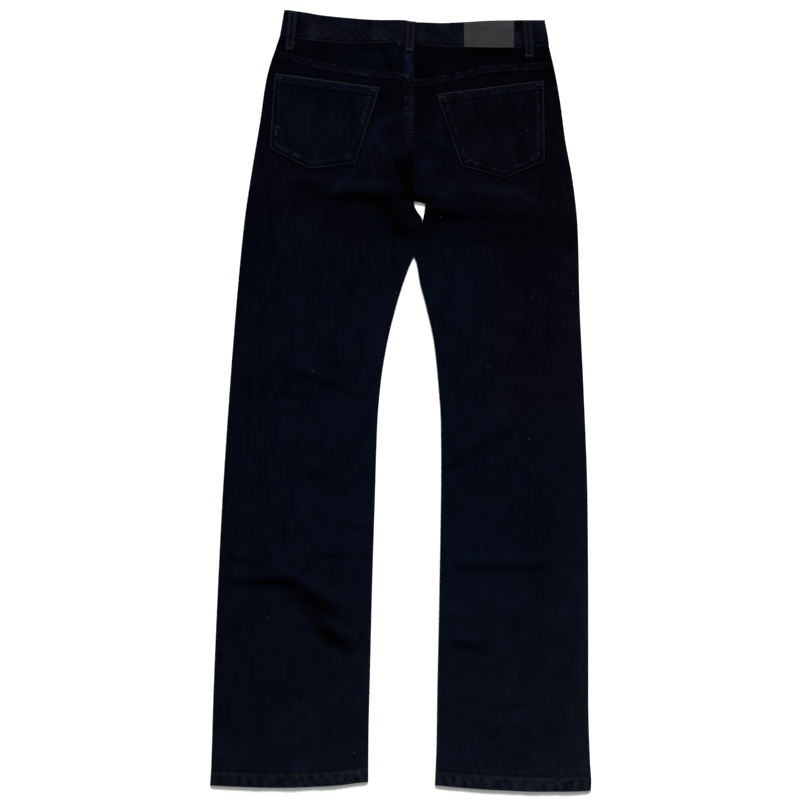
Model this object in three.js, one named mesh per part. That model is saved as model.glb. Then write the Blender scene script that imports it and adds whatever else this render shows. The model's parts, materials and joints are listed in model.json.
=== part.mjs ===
// Straight leg jeans laid flat with the back up, in millimetres.
// X runs from the wearer's left to the wearer's right, Y from the hems to the waist,
// and Z up from the surface. The origin lies on the surface, under the middle of the garment.
// Each leg is a flattened tube: a front panel lies on the surface, a back panel lies over it,
// and the two meet along the side seams, where both are turned towards each other.

import * as THREE from "three";

// Cloth and seams
const CLOTH = 1.2; // one layer of denim
const BAND = 2.2; // the waistband, two layers
const PATCH = 1.5; // leather
const LOOP = 1.6; // a folded belt loop
const GAP = 0.3; // between two pieces at a seam
const SEAM_HEIGHT = 1.8; // where front and back meet along the sides
const BACK_TURN = 6; // how far in from the outline the back panel turns down
const FRONT_TURN = 3; // how far in from the outline the front panel turns up
const FELL_WIDTH = 10.5; // raised band along a felled seam
const FELL_RISE = 1;
const FELL_STEP = 1.2; // width of the slope at the foot of that band
const CENTRE_FELL_WIDTH = 14.5;
const HEM_DEPTH = 20;
const HEM_RISE = 0.9;

// Waist
const FRONT_DIP = 20; // how much lower the front of the waist hangs than the back
const LAP = 20; // the lap of the waistband each side of the centre front
const LAP_REACH = LAP + 2; // the band stays raised this far from the centre, and sinks over the ease
const LAP_EASE = 26;
const BAND_AIR = 0.4; // between the front and the back of the waistband
const BAND_STEP = 11; // from one station of the front of the waistband to the next

// Levels along Y
const YOKE_LEVEL = 468; // the yoke seam at the middle of each back panel
const HEM_LEVEL = -550; // the end of each leg at its middle
const SEAT_END = 300; // above this line the two backs are joined at the centre
const CROTCH = 281;
const CENTRE = 18.9; // X of the centre back and centre front seams
const EDGE_HEIGHT = 3.9; // the back panel's top near the outline
const CROWN_WIDTH = 60; // over which it rises to the puff below
const LEGS_APART = 60; // over which the inner edges sink, below the crotch
const FOLD_EDGE = 24; // over which folds fade out at the outline
const WAIST_SLOPE = { from: 440, run: 40 }; // over which the back rises to the waistband's height
const LOWEST_TOP = 2.9; // where a trough would sink the back's top any lower

// Outline of the left and right side, from the waist to the hem
const LEFT_OUT = [
  { y: 553, x: -165.6 },
  { y: 514, x: -172.6 },
  { y: 497, x: -178.6 },
  { y: 483, x: -183.6 },
  { y: 455, x: -191 },
  { y: 398, x: -199.4 },
  { y: 341, x: -208.9 },
  { y: 256, x: -221.7 },
  { y: 140, x: -233 },
  { y: 26, x: -242 },
  { y: -144, x: -253.3 },
  { y: -315, x: -261.7 },
  { y: -428, x: -266.2 },
  { y: -514, x: -268.8 },
  { y: -546, x: -270.6 },
];
const RIGHT_OUT = [
  { y: 540, x: 204.6 },
  { y: 510, x: 210 },
  { y: 497, x: 211.2 },
  { y: 483, x: 215.4 },
  { y: 426, x: 226.2 },
  { y: 370, x: 233.7 },
  { y: 313, x: 244.1 },
  { y: 256, x: 250.6 },
  { y: 228, x: 252 },
  { y: 140, x: 254 },
  { y: 26, x: 259.3 },
  { y: -144, x: 265.4 },
  { y: -287, x: 266.4 },
  { y: -428, x: 266.5 },
  { y: -514, x: 269 },
  { y: -540, x: 270.6 },
  { y: -554, x: 270.2 },
];

// Inner edge of each leg: the centre seam down to the crotch, the three-cornered gap under it,
// the stretch where the legs touch, and then the inseam
const TOUCHING = [
  { y: 256, x: 31 },
  { y: 205, x: 18.8 },
];
const LEFT_IN = [
  { y: 281, x: 18.75 },
  { y: 278.8, x: 19.4 },
  { y: 273, x: 21 },
  { y: 256, x: 30.85 },
  { y: 205, x: 18.65 },
  { y: 197, x: 14.8 },
  { y: 168, x: 4 },
  { y: 140, x: -4.8 },
  { y: 83, x: -18.9 },
  { y: 26, x: -28.1 },
  { y: -31, x: -32.9 },
  { y: -144, x: -36.6 },
  { y: -258, x: -40.2 },
  { y: -372, x: -43 },
  { y: -485, x: -45.6 },
  { y: -550, x: -45.9 },
];
const RIGHT_IN = [
  { y: 283.5, x: 19.05 },
  { y: 281, x: 34.8 },
  { y: 268, x: 33.7 },
  { y: 256, x: 31.15 },
  { y: 205, x: 18.95 },
  { y: 199, x: 22 },
  { y: 168, x: 27.5 },
  { y: 140, x: 34.9 },
  { y: 83, x: 47.4 },
  { y: 26, x: 53.4 },
  { y: -31, x: 57.1 },
  { y: -88, x: 57.5 },
  { y: -258, x: 55.2 },
  { y: -428, x: 51.8 },
  { y: -485, x: 51 },
  { y: -550, x: 48.4 },
];

// Back of the waistband: its upper edge and the seam along its lower edge
const WAIST = [
  { x: -165, top: 554.5, seam: 518.2 },
  { x: -142, top: 551.2, seam: 512.9 },
  { x: -114, top: 546.6, seam: 509.5 },
  { x: -78, top: 543, seam: 506.3 },
  { x: -40, top: 540.8, seam: 507 },
  { x: 0, top: 540, seam: 508.2 },
  { x: 24, top: 536.6, seam: 503.8 },
  { x: 56, top: 536, seam: 502 },
  { x: 89, top: 537.3, seam: 501 },
  { x: 142, top: 539.5, seam: 500.2 },
  { x: 184, top: 540.2, seam: 501.6 },
  { x: 206, top: 540.2, seam: 503.2 },
];

const YOKE_SEAM = [
  { x: -178, y: 498.6 },
  { x: -135, y: 486.9 },
  { x: -112, y: 480.5 },
  { x: -78, y: 474.8 },
  { x: -34, y: 468.6 },
  { x: -7, y: 466.6 },
  { x: 7, y: 462.6 },
  { x: 18.9, y: 456.3 },
  { x: 42, y: 457.7 },
  { x: 72, y: 464.1 },
  { x: 99, y: 469.8 },
  { x: 123, y: 475 },
  { x: 159, y: 477.2 },
  { x: 216, y: 481.6 },
];

const HEM = [
  { x: -270, y: -545.7 },
  { x: -227, y: -547.7 },
  { x: -170, y: -549 },
  { x: -114, y: -547.2 },
  { x: -85, y: -545.2 },
  { x: -46, y: -541 },
  { x: 49, y: -545.5 },
  { x: 85, y: -548.9 },
  { x: 142, y: -552.6 },
  { x: 198, y: -554.5 },
  { x: 248, y: -554.2 },
  { x: 270, y: -553.1 },
];

// Height of the back over the middle of each leg, with the air under it
const PUFF = [
  { y: 517, z: 4 },
  { y: 480, z: 4.5 },
  { y: 440, z: 5.6 },
  { y: 380, z: 6.2 },
  { y: 320, z: 6.4 },
  { y: 250, z: 6.2 },
  { y: 190, z: 5.6 },
  { y: 120, z: 5.2 },
  { y: -20, z: 5 },
  { y: -150, z: 5.2 },
  { y: -260, z: 5.4 },
  { y: -400, z: 4.8 },
  { y: -554, z: 4.4 },
];

// Folds of the back. Each is a ridge, or a trough where its rise is negative, with its middle at x, y.
// It runs along angle (degrees from X), its middle is bent sideways by bend,
// and it falls to nothing over the widths above and below its crest.
const FOLDS = [
  { on: "seat", x: 47, y: 357, angle: -28, length: 78, bend: 12, rise: 2, above: 14, below: 13 },
  { on: "seat", x: 12, y: 308, angle: -68, length: 84, bend: 0, rise: -3.6, above: 13, below: 15 },
  { on: "left", x: -59, y: 294, angle: 0, length: 140, bend: 4, rise: 6, above: 22, below: 16 },
  { on: "left", x: -3, y: 261, angle: -58, length: 84, bend: 0, rise: 4.6, above: 12, below: 22 },
  { on: "left", x: 4, y: 240, angle: -8, length: 46, bend: 2, rise: 3, above: 11, below: 17 },
  { on: "left", x: -128, y: 312, angle: -3, length: 80, bend: 0, rise: 2, above: 14, below: 18 },
  { on: "left", x: -124, y: 246, angle: 15, length: 120, bend: 4, rise: 1.8, above: 22, below: 22 },
  { on: "right", x: 116, y: 281, angle: -12, length: 226, bend: 12, rise: 5, above: 25, below: 30 },
  { on: "right", x: 128, y: 261, angle: -5, length: 196, bend: 4, rise: 3.2, above: 24, below: 15 },
  { on: "left", x: -116, y: 38, angle: -22, length: 120, bend: -4, rise: 3.4, above: 22, below: 13 },
  { on: "left", x: -144, y: 14, angle: -4, length: 92, bend: 0, rise: 2.2, above: 13, below: 12 },
  { on: "left", x: -122, y: -101, angle: -8, length: 66, bend: 2, rise: 1.8, above: 16, below: 13 },
  { on: "right", x: 118, y: -50, angle: 33, length: 154, bend: 0, rise: 3.4, above: 22, below: 12 },
  { on: "left", x: -206, y: -252, angle: 3, length: 130, bend: 3, rise: 4.5, above: 20, below: 15 },
  { on: "left", x: -122, y: -274, angle: -27, length: 112, bend: 3, rise: 4.8, above: 18, below: 16 },
  { on: "left", x: -93, y: -327, angle: -34, length: 84, bend: 2, rise: 4, above: 16, below: 16 },
  { on: "left", x: -219, y: -226, angle: -20, length: 66, bend: 2, rise: 2, above: 14, below: 12 },
  { on: "right", x: 150, y: -222, angle: 0, length: 216, bend: -9, rise: 3.6, above: 20, below: 14 },
  { on: "right", x: 95, y: -339, angle: 0, length: 58, bend: 0, rise: 2.4, above: 14, below: 15 },
];

// Rows of points across the back panels and the front panels, closer together where the folds are
const BACK_ROWS = [
  { from: 444, to: 312, step: 16.5 },
  { from: 312, to: 200, step: 9 },
  { from: 200, to: 80, step: 24 },
  { from: 80, to: -112, step: 14 },
  { from: -112, to: -200, step: 22 },
  { from: -200, to: -368, step: 14 },
  { from: -368, to: -520, step: 32 },
];
const FRONT_ROWS = [
  { from: 411, to: 306, step: 35 },
  { from: 306, to: 186, step: 8 },
  { from: 186, to: -520, step: 44 },
];
const BACK_MIDDLE = 10; // columns of cells between the two turned edges
const FRONT_MIDDLE = 5;

// Rows this near to the yoke seam and to the hem follow them, and over the run they become level
const ROW_BEND = { seam: 24, hem: 30, run: 84 };
const TURN_ANGLES = [0, 30, 60, 90].map(THREE.MathUtils.degToRad);

// Front pocket mouths: each curve leaves the side seam at foot and ends width in from it at the waist
const MOUTH = { foot: 412, top: 500, width: 92 };
const MOUTH_SHARES = [0.03, 0.14, 0.32, 0.6, 1]; // heights of its rows, as shares

const ZIP_FLY = { left: 4, right: 36, top: 479, bottom: 338 };
const BUTTON = { radius: 8.5, rim: 1, bevel: 0.5, shank: 5, height: 1.6 };

// Back pockets: the corners of each, from its upper left one round to its lower left one
const POCKETS = [
  {
    name: "back_pocket_left",
    side: "left",
    topLeft: [-178.8, 464.3],
    topRight: [-29.3, 444],
    lowerRight: [-64.8, 336.2],
    point: [-129.4, 328.7],
    lowerLeft: [-185.7, 357.8],
  },
  {
    name: "back_pocket_right",
    side: "right",
    topLeft: [50.6, 434.7],
    topRight: [202.8, 454.3],
    lowerRight: [204.2, 339.2],
    point: [147, 315.9],
    lowerLeft: [86.1, 333.3],
  },
];
const POCKET_GAP = 0.6;
const POCKET_HEM = 0.095; // the thicker hem along its top and the step below it, as shares of its height
const POCKET_STEP = 0.01;
const POCKET_ROWS = [0, POCKET_HEM, POCKET_HEM + POCKET_STEP, 0.3, 0.5, 0.7, 0.85, 1];
const POCKET_COLUMNS = 8;
const POCKET_POINT = 0.52; // where its lower corner lies, as a share of its width

// Belt loops on the back: the X of their middles at the top and at the foot, the Y of the foot,
// and how far the cloth under the foot is raised
const BACK_LOOPS = [
  { name: "belt_loop_back_left", top: -152.6, foot: -157.6, end: 497, raised: 0 },
  { name: "belt_loop_centre_back", top: 14.6, foot: 12.5, end: 494.5, raised: FELL_RISE },
  { name: "belt_loop_back_right", top: 179.5, foot: 182.9, end: 486, raised: 0 },
];
const FRONT_LOOPS = [
  { name: "belt_loop_front_left", x: -92 },
  { name: "belt_loop_front_right", x: 128 },
];
const LOOP_ROWS = [0, 0.12, 0.3, 0.5, 0.66, 0.76, 0.88, 1];
const LOOP_WIDTH = 13;
const LOOP_ARCH = 1.6;
const LOOP_START = 0.4; // below the upper edge of the waistband

const WAIST_PATCH = { left: 89.5, right: 160.9, below: 1.6, above: 0.2 };

// What lies under the front of the waistband and lifts it off the surface,
// level for a little past each side of it, and then sinking over the ease
const LIFT_PAST = 6;
const LIFT_EASE = 20;
const UNDER_WAIST = [
  { x: CENTRE, half: BUTTON.radius + LIFT_PAST, rise: BUTTON.height + GAP },
  ...FRONT_LOOPS.map((loop) => ({ x: loop.x, half: LOOP_WIDTH / 2 + LIFT_PAST, rise: LOOP + GAP })),
];
const BAND_FOLD = [-60, -30, 0, 30, 60]; // degrees round the fold at each side

const denim = new THREE.MeshStandardMaterial({ color: 0x0a0e1a, roughness: 0.95 });
const denimWorn = new THREE.MeshStandardMaterial({ color: 0x12151f, roughness: 0.95 });
const tape = new THREE.MeshStandardMaterial({ color: 0x0b0c10, roughness: 0.9 });
const leather = new THREE.MeshStandardMaterial({ color: 0x343539, roughness: 0.7 });
const metal = new THREE.MeshStandardMaterial({ color: 0x2a2b2e, roughness: 0.4, metalness: 1 });

const lerp = THREE.MathUtils.lerp;
const clamp = THREE.MathUtils.clamp;

// Rises smoothly from 0 to 1 as t goes from 0 to 1.
function ease(t) {
  const s = clamp(t, 0, 1);
  return s * s * (3 - 2 * s);
}

// Falls smoothly from 1 at the middle to 0 at t = 1 and t = -1.
function hump(t) {
  return Math.abs(t) < 1 ? 0.5 + 0.5 * Math.cos(Math.PI * t) : 0;
}

// Makes a smooth function through a table's rows that never swings past them.
function curve(table, key, value) {
  const rows = [...table].sort((a, b) => a[key] - b[key]);
  const at = rows.map((row) => row[key]);
  const height = rows.map((row) => row[value]);
  const slope = rows.slice(1).map((_, i) => (height[i + 1] - height[i]) / (at[i + 1] - at[i]));
  const tangent = rows.map((_, i) => {
    if (i === 0) return slope[0];
    if (i === rows.length - 1) return slope[i - 1];
    const product = slope[i - 1] * slope[i];
    return product > 0 ? (2 * product) / (slope[i - 1] + slope[i]) : 0;
  });
  return (position) => {
    const p = clamp(position, at[0], at[at.length - 1]);
    const i = Math.max(1, at.findIndex((a) => a >= p)) - 1;
    const width = at[i + 1] - at[i];
    const s = (p - at[i]) / width;
    const pull = s * (1 - s) * width * ((1 - s) * tangent[i] - s * tangent[i + 1]);
    return lerp(height[i], height[i + 1], ease(s)) + pull;
  };
}

// The inner edge of one leg. Where the legs touch, both follow one line, half a gap to each side.
function innerEdge(table, shift) {
  const edge = curve(table, "y", "x");
  const [top, end] = TOUCHING;
  return (y) => {
    if (y > top.y || y < end.y) return edge(y);
    return lerp(end.x, top.x, (y - end.y) / (top.y - end.y)) + shift;
  };
}

const outer = { left: curve(LEFT_OUT, "y", "x"), right: curve(RIGHT_OUT, "y", "x") };
const inner = { left: innerEdge(LEFT_IN, -GAP / 2), right: innerEdge(RIGHT_IN, GAP / 2) };
const waistTop = curve(WAIST, "x", "top");
const waistSeam = curve(WAIST, "x", "seam");
const yokeSeam = curve(YOKE_SEAM, "x", "y");
const hemEdge = curve(HEM, "x", "y");
const puff = curve(PUFF, "y", "z");

// From 0 where the two sides are joined at the centre to 1 where the legs are apart.
function apart(y, run = SEAT_END - CROTCH) {
  return ease((CROTCH + run - y) / run);
}

// The ends of the waistband laid flat, along its lower seam
const bandEnd = {
  left: outer.left(WAIST[0].seam),
  right: outer.right(WAIST.at(-1).seam),
};

// A line of the front of the waistband: straight from side to side, but for its dip at the middle.
function frontLine(x, leftY, rightY) {
  const share = clamp((x - bandEnd.left) / (bandEnd.right - bandEnd.left), 0, 1);
  return lerp(leftY, rightY, share) - FRONT_DIP * 4 * share * (1 - share);
}

function frontTop(x) {
  return frontLine(x, WAIST[0].top, WAIST.at(-1).top);
}

function frontSeam(x) {
  return frontLine(x, WAIST[0].seam, WAIST.at(-1).seam);
}

// X at height y of the waistband's line that starts at x on its seam, slanted as the outline is.
function bandX(x, y, seam) {
  const share = clamp((x - bandEnd.left) / (bandEnd.right - bandEnd.left), 0, 1);
  return x + lerp(outer.left(y) - outer.left(seam), outer.right(y) - outer.right(seam), share);
}

// How far the front of the waistband is lifted off the surface by what lies under it.
function waistLift(x) {
  const lifts = UNDER_WAIST.map(
    (thing) => thing.rise * (1 - ease((Math.abs(x - thing.x) - thing.half) / LIFT_EASE)),
  );
  return Math.max(0, ...lifts);
}

// Top of all that lies under the back of the waistband: one layer, or two where it laps.
function waistStack(x) {
  const lap = 1 - ease((Math.abs(x - CENTRE) - LAP_REACH) / LAP_EASE);
  return waistLift(x) + BAND + lap * (BAND + GAP);
}

function bandTop(x) {
  return waistStack(x) + BAND_AIR + BAND;
}

function foldRise(fold, x, y) {
  const angle = THREE.MathUtils.degToRad(fold.angle);
  const [cos, sin] = [Math.cos(angle), Math.sin(angle)];
  const [dx, dy] = [x - fold.x, y - fold.y];
  const along = (dx * cos + dy * sin) / (fold.length / 2);
  if (Math.abs(along) >= 1) return 0;
  const across = dy * cos - dx * sin - fold.bend * (1 - along * along);
  const width = across > 0 ? fold.above : fold.below;
  return fold.rise * Math.cos((Math.PI / 2) * along) * hump(across / width);
}

// Height of the back's upper face, before its edges turn down.
function backTop(side, x, y) {
  const fromOut = Math.abs(x - outer[side](y));
  const fromIn = Math.abs(x - inner[side](y));
  const legs = apart(y, LEGS_APART);
  const clear = (width) => ease(fromOut / width) * (1 - legs * (1 - ease(fromIn / width)));
  const air = lerp(EDGE_HEIGHT, puff(y), clear(CROWN_WIDTH));
  const waist = (waistStack(x) - BAND) * ease((y - WAIST_SLOPE.from) / WAIST_SLOPE.run);
  const folds = FOLDS.filter((fold) => fold.on === side || fold.on === "seat");
  const raised = folds.reduce((sum, fold) => sum + foldRise(fold, x, y), 0);
  return Math.max(LOWEST_TOP, air + waist + raised * clear(FOLD_EDGE));
}

// Rise of the felled seams and of the hem over the cloth beside them.
function seamRise(side, x, y) {
  const belowYoke = yokeSeam(x) - y;
  const yoke = belowYoke > -GAP / 2 ? 1 - clamp((belowYoke - FELL_WIDTH) / FELL_STEP, 0, 1) : 0;
  const fromCentre = CENTRE - x;
  const onCentre = side === "left" ? 1 - apart(y) : 0;
  const centre = onCentre * (1 - clamp((fromCentre - CENTRE_FELL_WIDTH) / FELL_STEP, 0, 1));
  const aboveHem = y - hemEdge(x);
  const hem = 1 - clamp((aboveHem - HEM_DEPTH) / FELL_STEP, 0, 1);
  return Math.max(FELL_RISE * yoke, FELL_RISE * centre, HEM_RISE * hem);
}

// Closes the wall between two equal grids of points, its two faces.
function wall(face, lining) {
  const rows = face.length;
  const columns = face[0].length;
  const at = (layer, row, column) => (layer * rows + row) * columns + column;
  const index = [];
  const quad = (a, b, c, d) => index.push(a, b, c, a, c, d);
  const [lastRow, lastColumn] = [rows - 1, columns - 1];
  for (let r = 0; r < lastRow; r++) {
    for (let c = 0; c < lastColumn; c++) {
      quad(at(0, r, c), at(0, r + 1, c), at(0, r + 1, c + 1), at(0, r, c + 1));
      quad(at(1, r, c), at(1, r, c + 1), at(1, r + 1, c + 1), at(1, r + 1, c));
    }
    quad(at(0, r, 0), at(1, r, 0), at(1, r + 1, 0), at(0, r + 1, 0));
    const end = lastColumn;
    quad(at(0, r, end), at(0, r + 1, end), at(1, r + 1, end), at(1, r, end));
  }
  for (let c = 0; c < lastColumn; c++) {
    quad(at(0, 0, c), at(0, 0, c + 1), at(1, 0, c + 1), at(1, 0, c));
    quad(at(0, lastRow, c), at(1, lastRow, c), at(1, lastRow, c + 1), at(0, lastRow, c + 1));
  }
  return facingOut([...face.flat(), ...lining.flat()], index);
}

// Makes the geometry of a closed body, with its faces turned outwards.
function facingOut(points, index) {
  const [a, b, c] = [new THREE.Vector3(), new THREE.Vector3(), new THREE.Vector3()];
  let volume = 0;
  for (let i = 0; i < index.length; i += 3) {
    a.fromArray(points[index[i]]);
    b.fromArray(points[index[i + 1]]);
    c.fromArray(points[index[i + 2]]);
    volume += a.dot(b.cross(c));
  }
  const geometry = new THREE.BufferGeometry();
  geometry.setAttribute("position", new THREE.Float32BufferAttribute(points.flat(), 3));
  geometry.setIndex(volume < 0 ? index.reverse() : index);
  geometry.computeVertexNormals();
  return geometry;
}

function piece(name, geometry, material) {
  const mesh = new THREE.Mesh(geometry, material);
  mesh.name = name;
  return mesh;
}

// Values from one end of each row's stretch to the other, a step apart.
function spaced(stretches) {
  return stretches.flatMap(({ from, to, step }) => {
    const count = Math.round(Math.abs(from - to) / step);
    return Array.from({ length: count }, (_, i) => lerp(from, to, i / count));
  });
}

// Columns of a panel from its outer to its inner edge. A turned column lies on an edge's bend,
// an inset one a set way in from the inner edge, and a share between the two.
function panelColumns(middle, insets = []) {
  const turned = TURN_ANGLES.map((angle) => ({ edge: "out", angle }));
  const shares = Array.from({ length: middle - 1 }, (_, i) => ({ share: (i + 1) / middle }));
  const inside = insets.map((inset) => ({ inset }));
  const turnedBack = [...TURN_ANGLES].reverse().map((angle) => ({ edge: "in", angle }));
  return [...turned, ...shares, ...inside, ...turnedBack];
}

// A column's X, and how far it is turned: 1 at the seam line and 0 on the flat.
function columnPlace(column, out, inn, turn) {
  const way = Math.sign(inn - out);
  const onBend = (start, inward, { radius, thick, share }) => ({
    x: start + inward * (thick + (radius - thick) * (1 - Math.cos(column.angle))),
    turned: share * (1 - Math.sin(column.angle)),
  });
  if (column.edge === "out") return onBend(out, way, turn.out);
  if (column.edge === "in") return onBend(inn, -way, turn.in);
  if (column.inset) return { x: inn - way * column.inset, turned: 0 };
  const [from, to] = [out + way * BACK_TURN, inn - way * (CENTRE_FELL_WIDTH + FELL_STEP)];
  return { x: lerp(from, to, column.share), turned: 0 };
}

// The bends of a panel's two edges at y. Thick sets the lining's bend inside the face's.
function turns(radius, thick, outShare, inShare) {
  return {
    out: { radius, thick: thick * outShare, share: outShare },
    in: { radius, thick: thick * inShare, share: inShare },
  };
}

const seamTop = SEAM_HEIGHT + GAP / 2;
const seamBottom = SEAM_HEIGHT - GAP / 2;

function backPlace(side, column, y, lining) {
  const turn = turns(BACK_TURN, lining ? CLOTH : 0, 1, apart(y));
  return columnPlace(column, outer[side](y), inner[side](y), turn);
}

// One point of a piece of the back: its face, or its lining under it.
function backPoint(side, column, level, rowY, lining) {
  const y = settle(level, (at) => backPlace(side, column, at, lining), rowY);
  const place = backPlace(side, column, y, lining);
  const top = backTop(side, place.x, y);
  const height = lining ? top - CLOTH : top + seamRise(side, place.x, y) * (1 - place.turned);
  return [place.x, y, lerp(height, seamTop, place.turned)];
}

// A level row's Y, bent near its ends to follow the seam above it and the hem below it.
function bentRow(level, x, seam, seamLevel) {
  const nearSeam = 1 - clamp((seamLevel - ROW_BEND.seam - level) / ROW_BEND.run, 0, 1);
  const nearHem = 1 - clamp((level - HEM_LEVEL - ROW_BEND.hem) / ROW_BEND.run, 0, 1);
  return level + (seam(x) - seamLevel) * nearSeam + (hemEdge(x) - HEM_LEVEL) * nearHem;
}

// Settles a column's place on a row whose Y depends on X, starting from a level.
function settle(level, placeAt, rowY) {
  const rounds = 6;
  let y = level;
  for (let i = 0; i < rounds; i++) y = rowY(placeAt(y).x);
  return y;
}

const backColumns = panelColumns(BACK_MIDDLE, [CENTRE_FELL_WIDTH + FELL_STEP, CENTRE_FELL_WIDTH]);

function backPanel(side) {
  const levels = [
    YOKE_LEVEL,
    YOKE_LEVEL - FELL_WIDTH,
    YOKE_LEVEL - FELL_WIDTH - FELL_STEP,
    ...spaced(BACK_ROWS),
    HEM_LEVEL + HEM_DEPTH + FELL_STEP,
    HEM_LEVEL + HEM_DEPTH,
    HEM_LEVEL + HEM_DEPTH / 2,
    HEM_LEVEL,
  ];
  const grid = (lining) =>
    levels.map((level) =>
      backColumns.map((column) => {
        const rowY = (x) => bentRow(level, x, yokeSeam, YOKE_LEVEL);
        return backPoint(side, column, level, rowY, lining);
      }),
    );
  return piece("back_" + side, wall(grid(false), grid(true)), denim);
}

function yokeRow(share) {
  return (x) => lerp(waistSeam(x) - 1.5 * GAP, yokeSeam(x) + GAP, share);
}

function yoke(side) {
  const shares = [0, 1 / 3, 2 / 3, 1];
  const grid = (lining) =>
    shares.map((share) =>
      backColumns.map((column) => backPoint(side, column, YOKE_LEVEL, yokeRow(share), lining)),
    );
  return piece("yoke_" + side, wall(grid(false), grid(true)), denim);
}

// X of a front panel's outer edge at a share of the pocket mouth's height: a quarter of an oval.
function mouthX(side, share) {
  const y = lerp(MOUTH.foot, MOUTH.top, share);
  const way = side === "left" ? 1 : -1;
  return outer[side](y) + way * MOUTH.width * Math.sqrt(1 - (1 - share) ** 2);
}

function frontPoint(x, y, turned, lining, extra = 0) {
  const flat = lining ? CLOTH + extra : 0;
  return [x, y, lerp(flat, seamBottom, turned)];
}

function frontPanel(side) {
  const columns = panelColumns(FRONT_MIDDLE);
  const mouthRow = (share) => ({
    level: MOUTH.foot,
    rowY: (x) => lerp(MOUTH.foot, frontSeam(x) - GAP, share),
    out: mouthX(side, share),
  });
  const legRow = (level, extra = 0) => ({
    level,
    rowY: (x) => bentRow(level, x, () => MOUTH.foot, MOUTH.foot),
    extra,
  });
  const rows = [
    ...MOUTH_SHARES.toReversed().map(mouthRow),
    ...spaced(FRONT_ROWS).map((level) => legRow(level)),
    legRow(HEM_LEVEL + HEM_DEPTH + FELL_STEP),
    legRow(HEM_LEVEL + HEM_DEPTH, HEM_RISE / 2),
    legRow(HEM_LEVEL, HEM_RISE / 2),
  ];
  const grid = (lining) =>
    rows.map((row) =>
      columns.map((column) => {
        const placeAt = (y) => {
          const turn = turns(FRONT_TURN, lining ? CLOTH : 0, row.out ? 0 : 1, apart(y));
          return columnPlace(column, row.out ?? outer[side](y), inner[side](y), turn);
        };
        const y = settle(row.level, placeAt, row.rowY);
        const place = placeAt(y);
        return frontPoint(place.x, y, place.turned, lining, row.extra);
      }),
    );
  return piece("front_" + side, wall(grid(false), grid(true)), denim);
}

// The hip side of a front pocket's mouth.
function pocketFacing(side) {
  const way = side === "left" ? 1 : -1;
  const columns = [
    ...TURN_ANGLES.map((angle) => ({ edge: "out", angle })),
    ...[1 / 3, 2 / 3, 1].map((share) => ({ share })),
  ];
  const grid = (lining) =>
    MOUTH_SHARES.toReversed().map((share) =>
      columns.map((column) => {
        const end = mouthX(side, share) - way * GAP;
        const rowY = (x) => lerp(MOUTH.foot, frontSeam(x) - GAP, share) + 2 * GAP * (1 - share);
        const placeAt = (y) => {
          const turn = turns(FRONT_TURN, lining ? CLOTH : 0, 1, 0);
          if (column.edge) return columnPlace(column, outer[side](y), end, turn);
          return { x: lerp(outer[side](y) + way * FRONT_TURN, end, column.share), turned: 0 };
        };
        const y = settle(MOUTH.foot, placeAt, rowY);
        const place = placeAt(y);
        return frontPoint(place.x, y, place.turned, lining);
      }),
    );
  return piece("pocket_facing_" + side, wall(grid(false), grid(true)), denim);
}

// X of the middle column of each part of the back seam of the waistband, from left to right.
function backSeamX() {
  const flat = backColumns.filter((column) => !column.edge || column.angle === TURN_ANGLES.at(-1));
  const along = (side) =>
    flat.map((column) => {
      const y = settle(YOKE_LEVEL, (at) => backPlace(side, column, at, false), yokeRow(0));
      return backPlace(side, column, y, false).x;
    });
  return [...along("left"), CENTRE, ...along("right").reverse()];
}

// Stations of the waistband, from its end under the lap, along the front to the right side,
// back over the yokes to the left side, and along the front again to the end of the lap.
function bandStations() {
  const radius = BAND + BAND_AIR / 2;
  const along = (from, to) => spaced([{ from, to, step: BAND_STEP }]);
  const underLap = (x) => (BAND + GAP) * (1 - ease((x - CENTRE - LAP_REACH) / LAP_EASE));
  const front = (low) => (x) => ({ x, liningX: x, front: true, face: low(x), lining: low(x) + BAND });
  const back = (x) => ({ x, liningX: x, front: false, face: bandTop(x), lining: bandTop(x) - BAND });
  const fold = (end, way) =>
    BAND_FOLD.map((degrees) => {
      const angle = THREE.MathUtils.degToRad(degrees * way);
      const [cos, sin] = [Math.cos(angle), Math.sin(angle)];
      return {
        x: end - way * radius * (1 - cos),
        liningX: end - way * (radius - (BAND_AIR / 2) * cos),
        front: sin < 0,
        face: radius * (1 + sin),
        lining: radius + (BAND_AIR / 2) * sin,
      };
    });
  return [
    ...along(CENTRE - LAP, bandEnd.right - radius).map(front((x) => waistLift(x) + underLap(x))),
    ...fold(bandEnd.right, 1),
    ...backSeamX().reverse().map(back),
    ...fold(bandEnd.left, -1),
    ...along(bandEnd.left + radius, CENTRE + LAP).map(front(waistLift)),
    front(waistLift)(CENTRE + LAP),
  ];
}

function waistband() {
  const grid = (height, xKey) =>
    bandStations().map((station) =>
      [0, 0.5, 1].map((share) => {
        const x = station[xKey];
        const [top, seam] = station.front ? [frontTop(x), frontSeam(x)] : [waistTop(x), waistSeam(x)];
        const y = lerp(top, seam, share);
        return [bandX(x, y, seam), y, station[height]];
      }),
    );
  return piece("waistband", wall(grid("face", "x"), grid("lining", "liningX")), denimWorn);
}

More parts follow.
